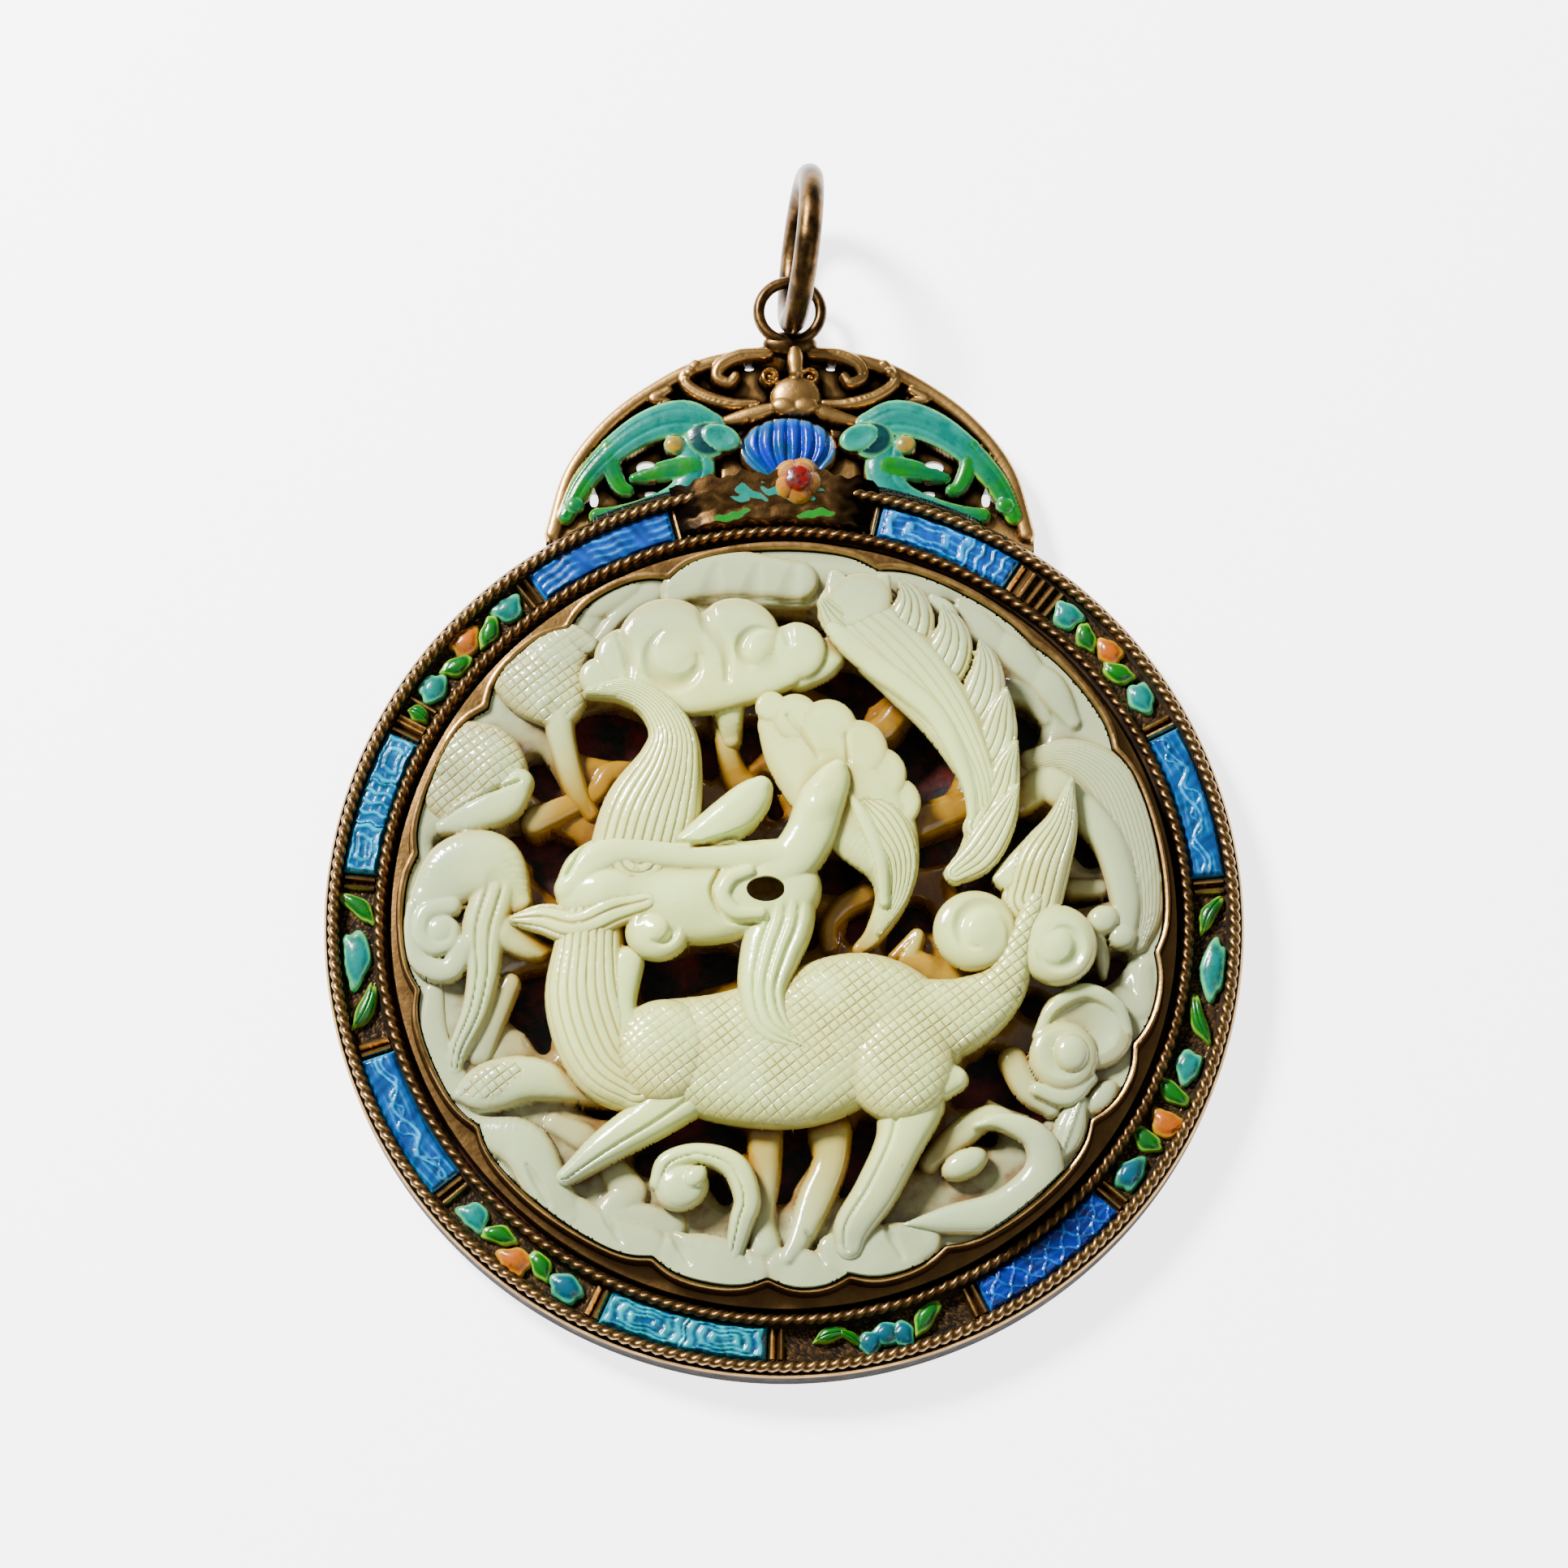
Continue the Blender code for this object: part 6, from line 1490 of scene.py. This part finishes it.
def flower_body():
    """The flower over the crest's foot: a dome with five petals, a red heart and dark seeds."""
    x, y = unit_disc(61)
    share = np.hypot(x, y)
    petals = np.abs(np.cos(2.5 * np.arctan2(y, x) + 0.4)) ** 0.6
    reach = 2.2 * MM * (1 + 0.1 * petals - 0.06)
    heart = fall(share, 0.52, 0.08)
    height = 1.9 * np.sqrt(np.clip(1 - share**2, 0, 1))
    height = height + 0.25 * (petals - 0.6) * np.clip(share * 2 - 0.7, 0, 1) + 0.25 * heart
    seeds = np.zeros_like(share)
    for seed_x, seed_y in ((0.0, 0.0), (0.2, 0.1), (-0.17, 0.14), (0.06, -0.22), (-0.2, -0.12)):
        seeds = np.maximum(seeds, ridge(np.hypot(x - seed_x, y - seed_y), 0.08))
    place = np.array(CREST_PLACE) + (3.3 * CREST_UNIT, 26 * CREST_UNIT, 0)
    top = np.stack([place[0] + x * reach, place[1] + y * reach, 3.7 * MM + height * MM], axis=-1)
    amber = CREST_PAINTS[AMBER]
    petal = amber + (CREST_PAINTS[YELLOW] - amber) * ramp(share, 0.5, 0.4)[..., None] * petals[..., None]
    tint = blend(blend(petal, CREST_PAINTS[RED], heart), SEED_PAINT, seeds)
    return slab(top, 2.2 * MM, {"tint": tint, "enamel": np.ones(share.shape), "hollow": 0.3 + 0 * share})


def saddle_body():
    """The plate from the crest's foot over the frame's wires, with splashes of green and turquoise."""
    angle = np.radians(np.linspace(*SADDLE_SPAN, SADDLE_STEPS))[None, :]
    share = np.linspace(0, 1, SADDLE_ROWS)[:, None]
    along = np.linspace(-1, 1, SADDLE_STEPS)[None, :] + 0 * share
    wander = 0.5 * np.sin(along * 17) + 0.3 * np.sin(along * 41 + 1)
    radius = (33.95 + (4.5 + 0.25 * wander) * share + 0.16 * wander) * MM
    sag = np.clip(1 - np.abs(share - 0.35) / 0.35, 0, 1)
    height = 4.78 - 0.6 * fall(share, 0.12, 0.12) ** 2 - 0.2 * sag
    height = height - 1.1 * ramp(np.abs(along), 0.6, 0.4) ** 2
    top = np.stack([radius * np.cos(angle), radius * np.sin(angle), height * MM], axis=-1)
    splash = np.sin(along * 19 + 2 * np.sin(share * 11)) * np.cos(share * 12 + along * 7)
    middle = np.exp(-((along - 0.06) / 0.5) ** 4 - ((share - 0.6) / 0.2) ** 2)
    turquoise = np.clip(middle * 1.2 + splash * 0.5 - 0.7, 0, 0.15) / 0.15
    leaves = [np.hypot((along - place) / 0.19, (share - 0.2 - 0.25 * (along - place)) / 0.08)
              for place in (-0.45, 0.42)]
    green = np.clip(1.15 - np.minimum(*leaves), 0, 0.2) / 0.2
    enamel = np.maximum(turquoise, green)
    paints = (CREST_PAINTS[SEA] * turquoise[..., None]
              + CREST_PAINTS[LEAF] * (green * (1 - turquoise))[..., None])
    tint = paints + CREST_PAINTS[BARE] * (1 - enamel)[..., None]
    hollow = 0.6 + 0.14 * splash + 0.4 * ramp(np.abs(along), 0.6, 0.3)
    return slab(top, 3.4 * MM, {"tint": tint, "enamel": enamel, "hollow": hollow})


class PENDANT_OT_crest(bpy.types.Operator):
    """Make the pierced crest: enamel in raised metal edges, and the flower at its foot."""
    bl_idname = "pendant.crest"
    bl_label = "Crest"

    def execute(self, context):
        body = gather([crest_body(), flower_body(), saddle_body()])
        finish = enamel_finish(context.scene.pendant_metal, "turquoise_enamel", paint(0, 66, 60),
                               over_metal=True)
        make_piece("crest_bat", body, finish, ("crest",),
                   most_triangles=CREST_TRIANGLES, sharp_over=60)
        return {'FINISHED'}


def round_wire(mean_radius, wire_radius, steps, sides):
    """A plain ring of round wire about the origin, its axis along Z."""
    angles = full_circle(steps)
    around = full_circle(sides)
    radius = mean_radius + wire_radius * np.cos(around)[None, :] + 0 * angles[:, None]
    height = wire_radius * np.sin(around)[None, :] + 0 * angles[:, None]
    return wound_ring(angles, radius, height, {"hollow": 0 * radius + 0.15})


class PENDANT_OT_rings(bpy.types.Operator):
    """Make the eye with its flared foot, and the jump ring that stands in it."""
    bl_idname = "pendant.rings"
    bl_label = "Eye and Jump Ring"

    def execute(self, context):
        finish = plain_metal_finish(context.scene.pendant_metal, "antique_gold_wire")
        eye_middle = np.array((EYE_LOW + EYE_HIGH) / 2)
        places, faces, marks = round_wire(EYE_RADIUS, EYE_WIRE / 2, 72, 20)
        x, y = unit_disc(25)
        rise = np.sqrt(np.clip(1 - x**2 - y**2, 0, 1))
        foot = np.stack([x * 2.3 * MM, y * 1.1 * MM - EYE_RADIUS - 0.1 * MM, (rise * 0.9 - 0.4) * MM],
                        axis=-1)
        neck = slab(foot + eye_middle, EYE_LOW.z, {"hollow": 0.15 + 0 * x})
        make_piece("eye_ring", gather([(places + eye_middle, faces, marks), neck]), finish,
                   ("eye",), sharp_over=180)
        places, faces, marks = round_wire(RING_RADIUS, RING_WIRE / 2, 120, 28)
        lean = math.pi / 2 + math.radians(RING_LEAN)
        turn = math.radians(RING_TURN)
        tip = np.array([[math.cos(lean), 0, math.sin(lean)], [0, 1, 0], [-math.sin(lean), 0, math.cos(lean)]])
        swing = np.array([[math.cos(turn), -math.sin(turn), 0], [math.sin(turn), math.cos(turn), 0],
                          [0, 0, 1]])
        ring_middle = np.array((RING_LOW + RING_HIGH) / 2)
        placed = places @ (swing @ tip).T + ring_middle
        make_piece("jump_ring_wire", (placed, faces, marks), finish, ("jump_ring",),
                   sharp_over=180)
        return {'FINISHED'}


WHITE = (1.0, 1.0, 1.0, 1.0)
TABLE_HALF = 3.0
TABLE_GLOW = 3.2
SKY_STRENGTH = 0.28

# The lamps: name, place, size and power, and the place that both point at
LAMPS = (("window", (-0.36, 0.34, 0.44), 0.16, 18.0), ("fill", (0.45, -0.35, 0.6), 0.6, 1.2))
LAMP_AIM = (0.0, 0.006, 0.004)

# The camera: the place it points at, how far away it is and how steeply it looks down, in degrees
CAMERA_AIM = (0.0, 0.0117, 0.003)
CAMERA_AWAY = 0.435
CAMERA_RISE = 75.5


def point_at(thing, place, aim):
    """Put a lamp or a camera in its place and turn it toward its aim."""
    thing.location = place
    thing.rotation_euler = (Vector(aim) - Vector(place)).to_track_quat('-Z', 'Y').to_euler()
    bpy.context.scene.collection.objects.link(thing)


class PENDANT_OT_stage(bpy.types.Operator):
    """Set the pale table, the soft daylight and the camera, which looks down from the lower side."""
    bl_idname = "pendant.stage"
    bl_label = "Stage"

    def execute(self, context):
        scene = context.scene
        mesh = bpy.data.meshes.new("table")
        corners = [(x * TABLE_HALF, y * TABLE_HALF, 0) for x, y in ((-1, -1), (1, -1), (1, 1), (-1, 1))]
        mesh.from_pydata(corners, [], [(0, 1, 2, 3)])
        table = bpy.data.objects.new("table", mesh)
        made = Finish("pale_table", Roughness=0.7, Emission_Color=WHITE, Emission_Strength=TABLE_GLOW)
        made.feed(Base_Color=made.mix(made.noise(0.03) * 0.3, paint(246, 246, 247), paint(243, 243, 244)))
        mesh.materials.append(made.material)
        scene.collection.objects.link(table)
        scene.world = scene.world or bpy.data.worlds.new("daylight")
        scene.world.use_nodes = True
        sky = scene.world.node_tree.nodes["Background"]
        sky.inputs["Color"].default_value = WHITE
        sky.inputs["Strength"].default_value = SKY_STRENGTH
        for name, place, size, power in LAMPS:
            light = bpy.data.lights.new(name, 'AREA')
            light.shape = 'DISK'
            light.size = size
            light.energy = power
            point_at(bpy.data.objects.new(name, light), place, LAMP_AIM)
        view = bpy.data.cameras.new("camera")
        view.lens = 120.0
        view.sensor_width = 36.0
        scene.camera = bpy.data.objects.new("camera", view)
        rise = math.radians(CAMERA_RISE)
        place = Vector(CAMERA_AIM) + CAMERA_AWAY * Vector((0.0, -math.cos(rise), math.sin(rise)))
        point_at(scene.camera, place, CAMERA_AIM)
        return {'FINISHED'}


class PENDANT_PT_pieces(bpy.types.Panel):
    """The pendant's pieces, in the order in which they are made."""
    bl_idname = "PENDANT_PT_pieces"
    bl_label = "Jade Plaque Pendant"
    bl_space_type = 'VIEW_3D'
    bl_region_type = 'UI'
    bl_category = "Pendant"

    def draw(self, context):
        for name in ("pitch", "front_pitch", "pale", "rim", "warm", "deep"):
            self.layout.prop(context.scene.pendant_jade, name)
        for name in ("ridge", "ground", "dirt_and_shade"):
            self.layout.prop(context.scene.pendant_metal, name)
        for operator in OPERATORS:
            self.layout.operator(operator.bl_idname)


OPERATORS = (PENDANT_OT_jade, PENDANT_OT_backing, PENDANT_OT_band, PENDANT_OT_ropes, PENDANT_OT_bezel,
             PENDANT_OT_panels, PENDANT_OT_buds, PENDANT_OT_crest, PENDANT_OT_rings, PENDANT_OT_stage)
CLASSES = (PENDANT_PG_jade, PENDANT_PG_metal, *OPERATORS, PENDANT_PT_pieces)


def register():
    for item in CLASSES:
        bpy.utils.register_class(item)
    bpy.types.Scene.pendant_jade = bpy.props.PointerProperty(type=PENDANT_PG_jade)
    bpy.types.Scene.pendant_metal = bpy.props.PointerProperty(type=PENDANT_PG_metal)


def unregister():
    del bpy.types.Scene.pendant_metal
    del bpy.types.Scene.pendant_jade
    for item in reversed(CLASSES):
        bpy.utils.unregister_class(item)


def main():
    register()
    bpy.ops.pendant.jade()
    bpy.ops.pendant.backing()
    bpy.ops.pendant.band()
    bpy.ops.pendant.ropes()
    bpy.ops.pendant.bezel()
    bpy.ops.pendant.panels()
    bpy.ops.pendant.buds()
    bpy.ops.pendant.crest()
    bpy.ops.pendant.rings()
    bpy.ops.pendant.stage()


if __name__ == "__main__":
    main()
